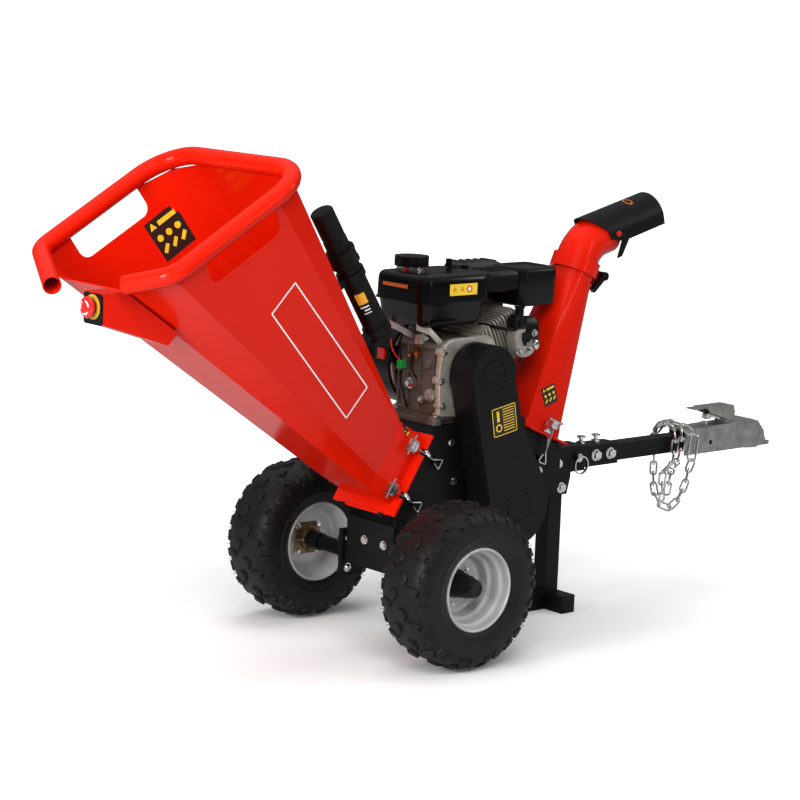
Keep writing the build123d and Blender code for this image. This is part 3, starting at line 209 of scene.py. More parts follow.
def finish(name, color, rough, metal=0.0, vary=0.12, vary_size=9.0, bump=0.0, bump_size=900.0, grain=None,
           coat=0.0, worn=None, worn_rough=0.4, edge=0.0, spread=0.08, shine=0.5):
    """A procedural finish: uneven colour and roughness, fine relief, and edges worn to another colour."""
    made = bpy.data.materials.new(name)
    made.use_nodes = True
    tree = made.node_tree

    def speckle(coords, scale, detail):
        noise = add_node(tree, "TexNoise", {"Vector": coords, "Scale": scale, "Detail": detail})
        return noise.outputs["Fac"]

    coords = add_node(tree, "TexCoord").outputs["Object"]
    fine_coords = coords
    if grain:
        fine_coords = add_node(tree, "Mapping", {"Vector": coords, "Scale": grain}).outputs["Vector"]
    tone = add_node(tree, "ValToRGB", {"Fac": speckle(coords, vary_size, 5)})
    dark, light = tone.color_ramp.elements
    dark.position = 0.3
    dark.color = (*[channel * (1 - vary) for channel in color], 1)
    light.position = 0.7
    light.color = (*[min(1.0, channel * (1 + vary)) for channel in color], 1)
    color_out = tone.outputs["Color"]
    rough_out = add_node(tree, "MapRange", {
        "Value": speckle(fine_coords, vary_size * 4, 6),
        "To Min": max(0.03, rough - spread), "To Max": min(1.0, rough + spread),
    }).outputs["Result"]
    relief = add_node(tree, "Bump", {
        "Height": speckle(fine_coords, bump_size, 4), "Strength": 1.0, "Distance": bump,
    })
    if edge:
        rounded = add_node(tree, "Bevel", {"Radius": edge}, samples=4).outputs["Normal"]
        plug(tree, relief, {"Normal": rounded})
    if worn and edge:
        flat = add_node(tree, "NewGeometry").outputs["Normal"]
        turn = add_node(tree, "VectorMath", {0: rounded, 1: flat}, operation="DOT_PRODUCT").outputs["Value"]
        bend = add_node(tree, "MapRange", {"Value": turn, "From Min": 0.97, "From Max": 0.80})
        chips = speckle(coords, 160, 8)
        cut = add_node(tree, "MapRange", {"Value": chips, "From Min": 0.56, "From Max": 0.64})
        where = add_node(tree, "Math", {
            0: bend.outputs["Result"], 1: cut.outputs["Result"],
        }, operation="MULTIPLY").outputs["Value"]
        color_out = add_node(tree, "Mix", data_type="RGBA", sockets={
            "Factor": where, "A": color_out, "B": (*worn, 1),
        }).outputs["Result"]
        dull = add_node(tree, "Mix", {"Factor": where, "A": rough_out, "B": worn_rough})
        rough_out = dull.outputs["Result"]
    plug(tree, tree.nodes["Principled BSDF"], {
        "Base Color": color_out, "Roughness": rough_out, "Metallic": metal, "Specular IOR Level": shine,
        "Coat Weight": coat, "Coat Roughness": 0.06, "Normal": relief.outputs["Normal"],
    })
    return made


def ink(name, color, rough, vary):
    """A printed patch's finish."""
    return finish(name, color, rough, vary=vary, bump=0.00001)


RED = finish(
    "red_powder_coat", (0.62, 0.0095, 0.0014), 0.17, vary=0.04, vary_size=3, bump=0.00002,
    bump_size=700, edge=0.0015, worn=(0.3, 0.012, 0.006), spread=0.04, shine=0.18,
)
BLACK = finish(
    "black_powder_coat", (0.0035, 0.0035, 0.0037), 0.42, vary=0.25, bump=0.00004, bump_size=1100,
    edge=0.0012, worn=(0.05, 0.05, 0.05), spread=0.07, shine=0.2,
)
GUARD_BLACK = finish(
    "guard_black", (0.0038, 0.0038, 0.0041), 0.38, vary=0.3, bump=0.00003, edge=0.002,
    worn=(0.04, 0.04, 0.04), spread=0.06, shine=0.2,
)
ZINC = finish(
    "zinc_plate", (0.8, 0.8, 0.78), 0.2, metal=1.0, vary=0.18, vary_size=60, bump=0.00002,
    bump_size=1500, spread=0.1,
)
WIRE = finish(
    "bright_wire", (0.72, 0.72, 0.71), 0.18, metal=1.0, vary=0.1, vary_size=90, bump=0.00001,
    spread=0.06,
)
CHAIN = finish(
    "chain_plate", (0.88, 0.88, 0.87), 0.15, metal=1.0, vary=0.16, vary_size=70, bump=0.00003,
    bump_size=700,
)
GALVANISED = finish(
    "galvanised_steel", (0.36, 0.37, 0.35), 0.44, metal=0.85, vary=0.22, vary_size=45,
    bump=0.00006, bump_size=260, edge=0.0015, worn=(0.55, 0.55, 0.52), spread=0.12,
)
MACHINED = finish(
    "machined_steel", (0.5, 0.5, 0.5), 0.32, metal=1.0, vary=0.1, vary_size=30,
    bump=0.00002, grain=(1, 14, 1), bump_size=400,
)
CAST_ALLOY = finish(
    "cast_alloy", (0.56, 0.53, 0.46), 0.42, metal=0.7, vary=0.28, vary_size=28,
    bump=0.00022, bump_size=650, edge=0.0012, worn=(0.45, 0.44, 0.42), spread=0.12,
)
CAST_IRON = finish("cast_iron", (0.05, 0.05, 0.052), 0.6, metal=0.6, vary=0.2, bump=0.0002, bump_size=700)
TYRE = finish(
    "tyre_rubber", (0.0042, 0.0042, 0.0044), 0.5, vary=0.35, vary_size=26, bump=0.00012,
    bump_size=520, edge=0.0012, worn=(0.028, 0.028, 0.028), worn_rough=0.7, spread=0.12, shine=0.38,
)
BELT = finish("belt_rubber", (0.016, 0.016, 0.016), 0.75, vary=0.2, bump=0.0001, grain=(1, 6, 1))
RIM = finish(
    "rim_silver", (0.55, 0.55, 0.55), 0.34, metal=0.45, vary_size=22, bump=0.00004, bump_size=800,
    edge=0.001, worn=(0.3, 0.29, 0.27), spread=0.1,
)
HUB_BLACK = finish(
    "hub_black", (0.004, 0.004, 0.004), 0.34, vary=0.25, bump=0.00005, edge=0.001,
    worn=(0.08, 0.08, 0.08), shine=0.35,
)
PLASTIC = finish(
    "black_plastic", (0.003, 0.003, 0.003), 0.3, vary=0.2, vary_size=18, bump=0.00006,
    bump_size=1600, edge=0.0008, worn=(0.04, 0.04, 0.04), spread=0.06, shine=0.24,
)
MATT_PLASTIC = finish(
    "matt_black_plastic", (0.0042, 0.0042, 0.0036), 0.5, vary=0.2, vary_size=14,
    bump=0.0001, bump_size=1200, edge=0.0008, worn=(0.035, 0.035, 0.033), shine=0.2,
)
TANK_BLACK = finish(
    "tank_enamel", (0.0022, 0.0022, 0.0022), 0.2, vary=0.2, bump=0.00001, spread=0.04,
    shine=0.25,
)
MUFFLER = finish("heat_black", (0.05, 0.048, 0.045), 0.55, metal=0.5, vary=0.35, vary_size=24, bump=0.0001)
RED_PLASTIC = finish(
    "red_plastic", (0.62, 0.012, 0.01), 0.22, vary=0.06, bump=0.00001, coat=0.4,
    edge=0.0006, worn=(0.7, 0.1, 0.08),
)
# Painted shade: the crankcase is a darker copy of the cast alloy, its tone lowered to stand for the shade in
# its recesses.
SHADED_CRANKCASE = finish(
    "crankcase_alloy_painted_shade", (0.17, 0.155, 0.13), 0.5, metal=0.6, vary=0.3, vary_size=30,
    bump=0.0003, bump_size=600, edge=0.0012, worn=(0.34, 0.32, 0.29), spread=0.12,
)
PALE_ALLOY = finish(
    "pale_alloy", (0.5, 0.47, 0.42), 0.42, metal=0.75, vary=0.2, vary_size=34,
    bump=0.00012, bump_size=700, edge=0.0008, worn=(0.55, 0.53, 0.5),
)
YELLOW_ZINC = finish(
    "yellow_zinc", (0.34, 0.25, 0.12), 0.36, metal=0.9, vary=0.35, vary_size=40,
    bump=0.00006, bump_size=500,
)
BRASS = finish("brass", (0.42, 0.2, 0.07), 0.32, metal=1.0, vary=0.25, vary_size=60, bump=0.00005)
GREEN_PLASTIC = finish("green_plastic", (0.01, 0.3, 0.05), 0.35, vary=0.1, bump=0.00003)
WHITE_PRINT = ink("white_print", (0.85, 0.85, 0.83), 0.35, 0.03)
YELLOW_PRINT = ink("yellow_print", (0.8, 0.52, 0.02), 0.4, 0.06)
OCHRE_PRINT = ink("ochre_print", (0.5, 0.28, 0.02), 0.42, 0.08)
ORANGE_PRINT = ink("orange_print", (0.55, 0.11, 0.01), 0.4, 0.06)
AMBER_PRINT = ink("amber_print", (0.88, 0.42, 0.02), 0.4, 0.05)
RED_PRINT = ink("red_print", (0.6, 0.02, 0.02), 0.4, 0.05)
MATT_PRINT = ink("black_print", (0.012, 0.011, 0.009), 0.5, 0.1)

FINISHES = {
    RED: "hopper_body hopper_rim_tube e_stop_box chute_body chute_elbow",
    BLACK: "rotor_housing axle_beam tow_socket housing_hooks tow_bar support_leg canister_clamps deflector",
    GUARD_BLACK: "belt_guard",
    ZINC: "frame_fasteners tow_bolts hopper_latch_bases chute_latch_bases coupler_trigger",
    WIRE: "hopper_latch_1 hopper_latch_2 hopper_latch_3 hopper_latch_4 chute_latch_1 chute_latch_2 lock_pin",
    CHAIN: "safety_chain",
    GALVANISED: "coupler_body coupler_claw coupler_lever",
    MACHINED: "rotor_drum rotor_knives anvil_blade crankshaft",
    CAST_ALLOY: "cylinder cylinder_head",
    SHADED_CRANKCASE: "crankcase",
    CAST_IRON: "rotor_bearings rotor_pulley engine_pulley",
    TYRE: "left_tyre right_tyre",
    BELT: "drive_belt",
    RIM: "left_rim right_rim",
    HUB_BLACK: "left_hub right_hub",
    PLASTIC: "fuel_cap air_filter recoil_handle clamp_handle throttle_lever recoil_cover carburettor",
    MATT_PLASTIC: "canister_tube canister_cap",
    TANK_BLACK: "fuel_tank",
    MUFFLER: "muffler",
    RED_PLASTIC: "e_stop_button engine_switch",
}


def paint_nodes():
    """Give every CAD node its finish."""
    for surface, names in FINISHES.items():
        for name in names.split():
            node = NODES[name]
            node.data.materials.clear()
            node.data.materials.append(surface)
            for face in node.data.polygons:
                face.material_index = 0


# ---------------------------------------------------------------- mesh helpers


def make_piece(name, mesh, surface, body, slot, *replaced, sharp=40):
    """Turn a bmesh into a piece that rides on a CAD body, with its creases kept sharp."""
    bmesh.ops.remove_doubles(mesh, verts=mesh.verts, dist=0.00001)
    bmesh.ops.recalc_face_normals(mesh, faces=mesh.faces)
    data = bpy.data.meshes.new(name)
    mesh.to_mesh(data)
    mesh.free()
    data.shade_smooth()
    data.set_sharp_from_angle(angle=radians(sharp))
    for each in surface if isinstance(surface, list) else [surface]:
        data.materials.append(each)
    made = bpy.data.objects.new(name, data)
    bpy.context.scene.collection.objects.link(made)
    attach(made, body)
    if replaced:
        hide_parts(*replaced)


def across(direction):
    """Two unit vectors at right angles to a direction."""
    along = Vector(direction).normalized()
    helper = Vector((0, 0, 1)) if abs(along.z) < 0.9 else Vector((1, 0, 0))
    first = along.cross(helper).normalized()
    return first, along.cross(first).normalized()


def skin(mesh, rings, closed=False, caps=True, material=0):
    """Join rings of points, all of one length, into a surface. Gives back the rings' vertices."""
    made = [[mesh.verts.new(point) for point in ring] for ring in rings]
    pairs = list(zip(made, made[1:]))
    if closed:
        pairs.append((made[-1], made[0]))
    for lower, upper in pairs:
        for i in range(len(lower)):
            j = (i + 1) % len(lower)
            face = mesh.faces.new((lower[i], lower[j], upper[j], upper[i]))
            face.material_index = material
    if caps and not closed:
        for ring in (made[0], made[-1]):
            face = mesh.faces.new(ring)
            face.material_index = material
    return made


def lathe(mesh, centre, axis, profile, turns=64, closed=False, material=0):
    """Spin a profile of (along, radius) millimetres about an axis through a point."""
    along = Vector(axis).normalized()
    first, second = across(along)
    rings = []
    for distance, radius in profile:
        spot = centre + along * distance * MM
        rings.append([
            spot + (first * cos(turn) + second * sin(turn)) * max(radius, 0.01) * MM
            for turn in (2 * pi * i / turns for i in range(turns))
        ])
    skin(mesh, rings, closed=closed, material=material)


WASHER = 1.2


def hexagon(mesh, centre, axis, flats, height):
    """A bolt head with a chamfered rim on a round washer."""
    lathe(mesh, centre, axis, [(0, flats * 0.72), (WASHER, flats * 0.72)], turns=24)
    lathe(mesh, centre, axis, [
        (WASHER, flats * 0.56), (WASHER + height * 0.75, flats * 0.56),
        (WASHER + height, flats * 0.44),
    ], turns=6)


def round_loop(x, y, z, corner, inset=0.0, steps=6):
    """Points round a rectangle with round corners, level at a height, in millimetres from the axle."""
    points = []
    low_x, high_x, low_y, high_y = x[0] + inset, x[1] - inset, y[0] + inset, y[1] - inset
    corners = ((high_x, high_y, 0), (low_x, high_y, 90), (low_x, low_y, 180), (high_x, low_y, 270))
    for corner_x, corner_y, start in corners:
        centre_x = corner_x - corner if start in (0, 270) else corner_x + corner
        centre_y = corner_y - corner if start in (0, 90) else corner_y + corner
        for step in range(steps + 1):
            turn = radians(start + 90 * step / steps)
            points.append(at(centre_x + corner * cos(turn), centre_y + corner * sin(turn), z))
    return points


def stack(mesh, x, y, levels):
    """A rounded block over a rectangle, from levels of (height, corner radius) or (height, corner, inset)."""
    skin(mesh, [round_loop(x, y, *level) for level in levels])


def curve_along(name, route, resolution):
    """A smooth curve that follows a line of points, in millimetres from the axle."""
    data = bpy.data.curves.new(name, "CURVE")
    data.dimensions = "3D"
    data.resolution_u = resolution
    spline = data.splines.new("NURBS")
    spline.points.add(len(route) - 1)
    for knot, point in zip(spline.points, route):
        knot.co = (*at(*point), 1)
    spline.order_u = 3
    spline.use_endpoint_u = True
    return data


def wire(name, points, radius, surface, body, slot):
    """A round lead or rod along a line of points."""
    data = curve_along(name, points, 8)
    data.bevel_depth = radius * MM
    data.bevel_resolution = 3
    data.use_fill_caps = True
    data.materials.append(surface)
    made = bpy.data.objects.new(name, data)
    bpy.context.scene.collection.objects.link(made)
    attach(made, body)


def smooth(knots, steps=4, closed=False):
    """Points on a Catmull-Rom line through 2-D knots."""
    padded = [knots[-1], *knots, *knots[:2]] if closed else [knots[0], *knots, knots[-1]]
    line = []
    for a, b, c, d in zip(padded, padded[1:], padded[2:], padded[3:]):
        for step in range(steps):
            t = step / steps
            line.append(tuple(
                0.5 * (2 * b[k] + (c[k] - a[k]) * t + (2 * a[k] - 5 * b[k] + 4 * c[k] - d[k]) * t * t
                       + (3 * b[k] - a[k] - 3 * c[k] + d[k]) * t ** 3)
                for k in (0, 1)
            ))
    return line if closed else [*line, knots[-1]]


def flat_frame(node, start, direction, up):
    """Frame on a CAD face hit by a ray: x and y in the face, z out of it. Start is in mm from the axle."""
    hit, place, normal, _ = NODES[node].ray_cast(at(*start), Vector(direction))
    if not hit:
        raise ValueError(f"nothing of {node} lies along the ray")
    first = Vector(up).cross(normal).normalized()
    second = normal.cross(first)
    plane = Matrix((first, second, normal)).transposed().to_4x4()
    plane.translation = place
    return plane


FACING_BACK = Matrix(((0, 0, -1, 0), (-1, 0, 0, 0), (0, 1, 0, 0), (0, 0, 0, 1)))
FACING_NEAR = Matrix(((1, 0, 0, 0), (0, 0, -1, 0), (0, 1, 0, 0), (0, 0, 0, 1)))
LABEL_REACH = 0.008
CAST_FROM = 0.03


def laid(plane, x, y, height, node=None):
    """A point at a height over a frame's plane, or over a CAD node's surface where that is within reach."""
    out = plane.to_3x3() @ Vector((0, 0, 1))
    spot = plane @ Vector((x * MM, y * MM, 0))
    if node:
        hit, place, _, _ = NODES[node].ray_cast(spot + out * CAST_FROM, -out)
        if hit and (place - spot).length < LABEL_REACH:
            spot = place
    return spot + out * height * MM


def label_prism(mesh, plane, outline, low, high, material=0, node=None):
    """A thin plate with an outline of (x, y) millimetres in a frame, laid on a node if one is named."""
    rings = [[laid(plane, x, y, height, node) for x, y in outline] for height in (low, high)]
    skin(mesh, rings, material=material)


def label_sheet(mesh, plane, width, height, low, high, node, steps=8):
    """A rectangular plate that follows a node's surface."""
    rings = []
    for i in range(steps + 1):
        x = width * (i / steps - 0.5)
        up_at = [height * (j / steps - 0.5) for j in range(steps + 1)]
        under = [laid(plane, x, y, low, node) for y in up_at]
        over = [laid(plane, x, y, high, node) for y in reversed(up_at)]
        rings.append(under + over)
    skin(mesh, rings)


def label_strip(mesh, plane, start, end, width, low, high, material=0, node=None):
    """A straight bar between two points in a frame."""
    a, b = Vector(start), Vector(end)
    along = (b - a).normalized()
    side = Vector((-along.y, along.x)) * width / 2
    corners = [a - side, b - side, b + side, a + side]
    label_prism(mesh, plane, [tuple(corner) for corner in corners], low, high, material, node)


def rectangle(half_width, half_height):
    """Corners of a rectangle about the middle."""
    return [(x * half_width, y * half_height) for x, y in ((-1, -1), (1, -1), (1, 1), (-1, 1))]


def disc_line(x, y, radius, sides=20, start=0.0):
    """Points round a circle."""
    turns = [2 * pi * i / sides + start for i in range(sides)]
    return [(x + radius * cos(turn), y + radius * sin(turn)) for turn in turns]


# ---------------------------------------------------------------- wheels

CARCASS = [
    (61, 90), (66.5, 98), (69.5, 108), (71.6, 113.5), (72.3, 116), (70.8, 118.5), (71.2, 130), (68.5, 146),
    (61, 159.5), (48, 167.6), (30, 170.9), (0, 171.8),
]
TREAD_UNITS = 14
TREAD_PITCH = 80.0
LUG_HEX = [(-0.5, 0.0), (-0.26, -0.5), (0.26, -0.5), (0.5, 0.0), (0.26, 0.5), (-0.26, 0.5)]
LUG_ARROW = [(-0.5, 0.05), (-0.32, -0.42), (0.1, -0.5), (0.5, -0.32), (0.36, 0.1), (0.5, 0.48), (-0.3, 0.46)]
LUG_SHOULDER = [(-0.5, -0.2), (-0.3, -0.5), (0.5, -0.5), (0.5, 0.1), (0.2, 0.16), (0.16, 0.5), (-0.4, 0.5)]
# shape, place across the tread and around it, length, width, turn, height
LUGS = [
    (LUG_HEX, 13, 0, 30, 21, 62, 5.8),
    (LUG_ARROW, 39, 24, 38, 20, 8, 5.6),
    (LUG_SHOULDER, 66, -12, 25, 26, 6, 4.6),
    (LUG_ARROW, 67, 34, 24, -18, -8, 4.2),
]
WHISKER = 7.5
WHISKERS = ((58, 10), (60, 48), (72, 66), (50, 70))
BEAD = [(58, 88.8), (-58, 88.8)]
GROUND_GAP = 0.2


def tread_line():
    """The tyre's section from crown to bead, as (distance, across, radius)."""
    points = smooth(list(reversed(CARCASS)), 5)
    line, distance = [], 0.0
    for before, now in zip([points[0], *points], points):
        distance += hypot(now[0] - before[0], now[1] - before[1])
        line.append((distance, *now))
    return line


TREAD_LINE = tread_line()


def on_tread(distance, height):
    """Place across and radius of a point this far from the crown and above the rubber."""
    side = 1 if distance >= 0 else -1
    target = min(abs(distance), TREAD_LINE[-1][0] - 0.01)
    for before, after in zip(TREAD_LINE, TREAD_LINE[1:]):
        if after[0] >= target:
            break
    share = (target - before[0]) / (after[0] - before[0])
    width = before[1] + (after[1] - before[1]) * share
    radius = before[2] + (after[2] - before[2]) * share
    run, fall = after[1] - before[1], after[2] - before[2]
    length = hypot(run, fall)
    highest = TYRE_R / MM - GROUND_GAP
    return side * (width - fall / length * height), min(radius + run / length * height, highest)


def add_lug(mesh, to_world, outline, across_at, round_at, length, width, turn, height):
    """A tread block with a wide foot, and an edge rounded at its top."""
    spin = radians(turn)
    rings = []
    for scale, level in ((1.12, -1.0), (1.03, height * 0.55), (0.98, height - 1.0), (0.84, height)):
        ring = []
        for u, v in outline:
            a, b = u * length * scale, v * width * scale
            place = across_at + a * cos(spin) - b * sin(spin)
            around = round_at + a * sin(spin) + b * cos(spin)
            ring.append(to_world(place, around, level))
        rings.append(ring)
    made = skin(mesh, rings, caps=False)
    crown = mesh.verts.new(to_world(across_at, round_at, height + 0.2))
    for i in range(len(outline)):
        mesh.faces.new((made[-1][i], made[-1][(i + 1) % len(outline)], crown))
    mesh.faces.new(made[0])


def build_tyre(name, side):
    """Off-road tyre: smooth carcass, staggered tread and shoulder blocks, and moulding whiskers."""
    hub = Vector((AXLE, side * WHEEL_Y, TYRE_R))

    def to_world(distance, around, height):
        width, radius = on_tread(distance, height)
        turn = around / (TREAD_UNITS * TREAD_PITCH) * 2 * pi
        return hub + Vector((radius * cos(turn), width, radius * sin(turn))) * MM

    mesh = bmesh.new()
    outer = [(across_at, radius) for _, across_at, radius in reversed(TREAD_LINE)]
    section = [(-width, radius) for width, radius in outer] + [(w, r) for w, r in reversed(outer[:-1])] + BEAD
    lathe(mesh, hub, FAR, section, turns=144, closed=True)
    for unit in range(TREAD_UNITS):
        for half in (-1, 1):
            shift = (unit + (0.5 if half < 0 else 0)) * TREAD_PITCH
            for outline, across_at, round_at, length, width, turn, height in LUGS:
                add_lug(mesh, to_world, outline, half * across_at, shift + round_at, half * length, width,
                        half * turn, height)
            for across_at, round_at in WHISKERS:
                foot = to_world(half * across_at, shift + round_at, 0)
                tip = to_world(half * across_at, shift + round_at, WHISKER)
                lathe(mesh, foot, tip - foot, [(0, 0.8), (WHISKER, 0.45)], turns=5)
    make_piece(f"{name}_tyre_tread", mesh, TYRE, f"{name}_wheel", "tyre_rubber", f"{name}_tyre", sharp=34)


RIM_FACE = [
    (57, 91.5), (62, 91), (64.6, 89), (65, 87), (64, 85.4), (60, 84.6), (50, 83.6), (44, 82.2), (41.5, 78.5),
    (38, 76.2), (24, 74.8), (19, 73), (16.5, 68), (13, 66), (-2, 64.5), (-8, 62), (-11, 55), (-12, 40),
    (-12, 27), (-14, 26),
]
RIM_BACK = [
    (-15.5, 40), (-15.5, 56), (-20, 70), (-26, 75.5), (-40, 76.5), (-46, 82.6), (-60, 84.4), (-64.5, 86),
    (-65, 88), (-62, 91), (-57, 91.5), (-54, 87.5), (-46, 86), (-40, 80.5), (-20, 79), (14, 78.5),
    (36, 80.5), (44, 86),
]
HUB_LINE = [
    (-69, 20), (-60, 20.5), (-30, 20.5), (-28, 18), (-14, 18), (-12, 25), (-9, 31), (-8, 31), (-6, 28),
    (9, 27.5), (12, 25), (30, 24.5), (33, 22), (47, 20.5), (53, 18.5), (56, 15), (56, 12), (54, 11), (54, 0),
]
NUT_CIRCLE = 0.040
NUT_OUT, NUT_IN = 0.012, 0.0175      # the disc's two faces, behind the wheel's middle
PLATE_HALF, PLATE_CUT = 36.0, 10.0
VALVE_CIRCLE, VALVE_TURN = 0.067, 0.5
VALVE = [(0, 6), (4, 6), (6, 4), (22, 4), (23, 5), (32, 5), (33, 3.5)]


def build_rim(name, side):
    """Pressed steel rim with its nuts, the bearing hub, its plated flange with ribs, and the valve."""
    hub = Vector((AXLE, side * WHEEL_Y, TYRE_R))
    outward = Vector((0, side, 0))
    wheel = f"{name}_wheel"
    mesh = bmesh.new()
    lathe(mesh, hub, outward, RIM_FACE + RIM_BACK, turns=96, closed=True)
    make_piece(f"{name}_rim_dish", mesh, RIM, wheel, "rim_silver", f"{name}_rim", sharp=50)
    mesh = bmesh.new()
    lathe(mesh, hub, outward, HUB_LINE, turns=48)
    make_piece(f"{name}_hub_casting", mesh, HUB_BLACK, wheel, "black_paint", f"{name}_hub")
    mesh = bmesh.new()
    for turn in (45, 135, 225, 315):
        spoke = Vector((cos(radians(turn)), 0, sin(radians(turn)))) * NUT_CIRCLE
        hexagon(mesh, hub + spoke - outward * NUT_OUT, outward, 11, 6)
        hexagon(mesh, hub + spoke - outward * NUT_IN, -outward, 11, 6)
    make_piece(f"{name}_wheel_nuts", mesh, ZINC, wheel, "zinc")
    mesh = bmesh.new()
    half, cut = PLATE_HALF, PLATE_HALF - PLATE_CUT
    outline = [(half, -cut), (half, cut), (cut, half), (-cut, half)]
    outline += [(-x, -z) for x, z in outline]
    rings = []
    for out, scale in ((-13.5, 1.0), (-17.5, 1.0), (-18.5, 0.95), (-20, 0.62), (-32, 0.55), (-34, 0.5)):
        rings.append([hub + outward * out * MM + Vector((x, 0, z)) * scale * MM for x, z in outline])
    skin(mesh, rings)
    for turn in (0, 90, 180, 270):
        spoke = Vector((cos(radians(turn)), 0, sin(radians(turn))))
        side_way = Vector((-spoke.z, 0, spoke.x)) * 0.002
        root = hub - outward * NUT_IN
        points = [root + spoke * 0.016, root + spoke * 0.034, root + spoke * 0.018 - outward * 0.018]
        skin(mesh, [[point - side_way for point in points], [point + side_way for point in points]])
    make_piece(f"{name}_hub_flange", mesh, YELLOW_ZINC, wheel, "zinc")
    mesh = bmesh.new()
    foot = hub - Vector((cos(VALVE_TURN), 0, sin(VALVE_TURN))) * VALVE_CIRCLE + outward * 0.010
    lathe(mesh, foot, outward + Vector((0.4, 0, 0.2)), VALVE, turns=16)
    make_piece(f"{name}_valve", mesh, ZINC, wheel, "zinc")


# ---------------------------------------------------------------- engine

TANK_X, TANK_Y = (40.0, 250.0), (-70.0, 104.0)
TANK_BOTTOM, TANK_SEAM, TANK_TOP = 691.0, 747.0, 806.0
CAP = (113.0, 54.0)
CRANK = (180.0, 592.0)


def build_tank():
    """Pressed fuel tank in two halves with a seam flange, a sunk filler and its bright neck ring."""
    low_x = (TANK_X[0] + 10, TANK_X[1] - 14)
    low_y = (TANK_Y[0] + 6, TANK_Y[1] - 6)
    belly = [
        (TANK_BOTTOM, 12, 22), (TANK_BOTTOM + 2, 18, 14), (TANK_BOTTOM + 8, 22, 7), (TANK_BOTTOM + 22, 24, 3),
        (TANK_SEAM - 6, 26, -1), (TANK_SEAM - 2, 27, -3),
    ]
    lid = [
        (TANK_SEAM - 1.6, 28), (TANK_SEAM + 1.6, 28), (TANK_SEAM + 2.4, 27, 2.5), (TANK_TOP - 18, 27, 3.5),
        (TANK_TOP - 9, 26, 5), (TANK_TOP - 4, 24, 8), (TANK_TOP - 1, 20, 13), (TANK_TOP, 15, 20),
        (TANK_TOP, 8, 34), (TANK_TOP - 0.5, 6, 50),
    ]
    mesh = bmesh.new()
    skin(mesh, [round_loop(low_x, low_y, *level) for level in belly]
         + [round_loop(TANK_X, TANK_Y, *level) for level in lid])
    make_piece("fuel_tank_shell", mesh, TANK_BLACK, "frame", "engine_black", "fuel_tank", sharp=35)
    mesh = bmesh.new()
    lathe(mesh, at(*CAP, TANK_TOP - 1), UP, [
        (0, 30), (0, 34), (3, 34), (4, 31), (5.5, 30), (6, 33.5), (8.6, 33.5), (9.2, 30), (9.2, 22), (0, 22),
    ], closed=True)
    make_piece("filler_neck_ring", mesh, WIRE, "frame", "zinc")


def build_air_filter():
    """Air cleaner: a rounded housing, a lid over a seam with a sunk top panel, and a ribbed duct."""
    low, high = 720.0, 808.0
    mesh = bmesh.new()
    stack(mesh, (352.0, 468.0), (-50.0, 62.0), [
        (low, 14, 9), (low + 3, 18, 4), (low + 10, 20, 1.5), (high - 32, 20, 1), (high - 31, 20, 2.4),
        (high - 29, 20, 2.4), (high - 28, 20), (high - 9, 20), (high - 4, 19, 2), (high - 1, 17, 6),
        (high, 14, 11), (high, 12, 18), (high - 3, 11, 20), (high - 3, 8, 34),
    ])
    stack(mesh, (251.0, 358.0), (-42.0, 56.0), [
        (757, 8, 6), (762, 12), (792, 12), (799, 11, 3), (802, 9, 9), (802, 6, 22),
    ])
    for rib in range(3):
        stack(mesh, (276 + rib * 22, 282 + rib * 22), (-30, 40), [(800, 2.5), (804, 2.5, 0.6)])
    make_piece("air_filter_shell", mesh, PLASTIC, "frame", "black_plastic", "air_filter", sharp=35)


def build_muffler_guard():
    """Ridged heat shield over the muffler."""
    low, high = 690.0, 808.0
    mesh = bmesh.new()
    stack(mesh, (288.0, 410.0), (64.0, 150.0), [
        (low, 10), (high - 16, 10), (high - 5, 10, 4), (high, 8, 14), (high, 6, 30),
    ])
    for ridge in range(5):
        stack(mesh, (300 + ridge * 22, 310 + ridge * 22), (82, 134), [(high - 1, 4), (high + 2.5, 3, 1)])
    make_piece("muffler_guard", mesh, MUFFLER, "frame", "black_oxide", sharp=35)


COVER_FLANGE = [
    (92, 520), (88, 590), (96, 640), (116, 664), (170, 668), (246, 660), (262, 560), (258, 500), (104, 498),
]
COVER_BOLTS = ((99, 640), (93, 578), (99, 522))
# x, y and z of each round boss on the back face, and its radius
BOSSES = ((101, -30, 610, 13), (101, 20, 560, 17), (101, -20, 530, 10), (101, 44, 536, 9))
TANK_BRACKETS = (
    ((44, 60, 694), (70, 44, 684), (104, 18, 660)),
    ((58, -34, 694), (84, -48, 684), (112, -60, 652)),
)


def cast_flange(mesh, outline, centre, levels, material=0):
    """A flange in an upright plane, from levels of (place off the middle plane, scale about a centre)."""
    x0, z0 = centre
    rings = [[at(x0 + (x - x0) * grow, y, z0 + (z - z0) * grow) for x, z in outline] for y, grow in levels]
    skin(mesh, rings, material=material)


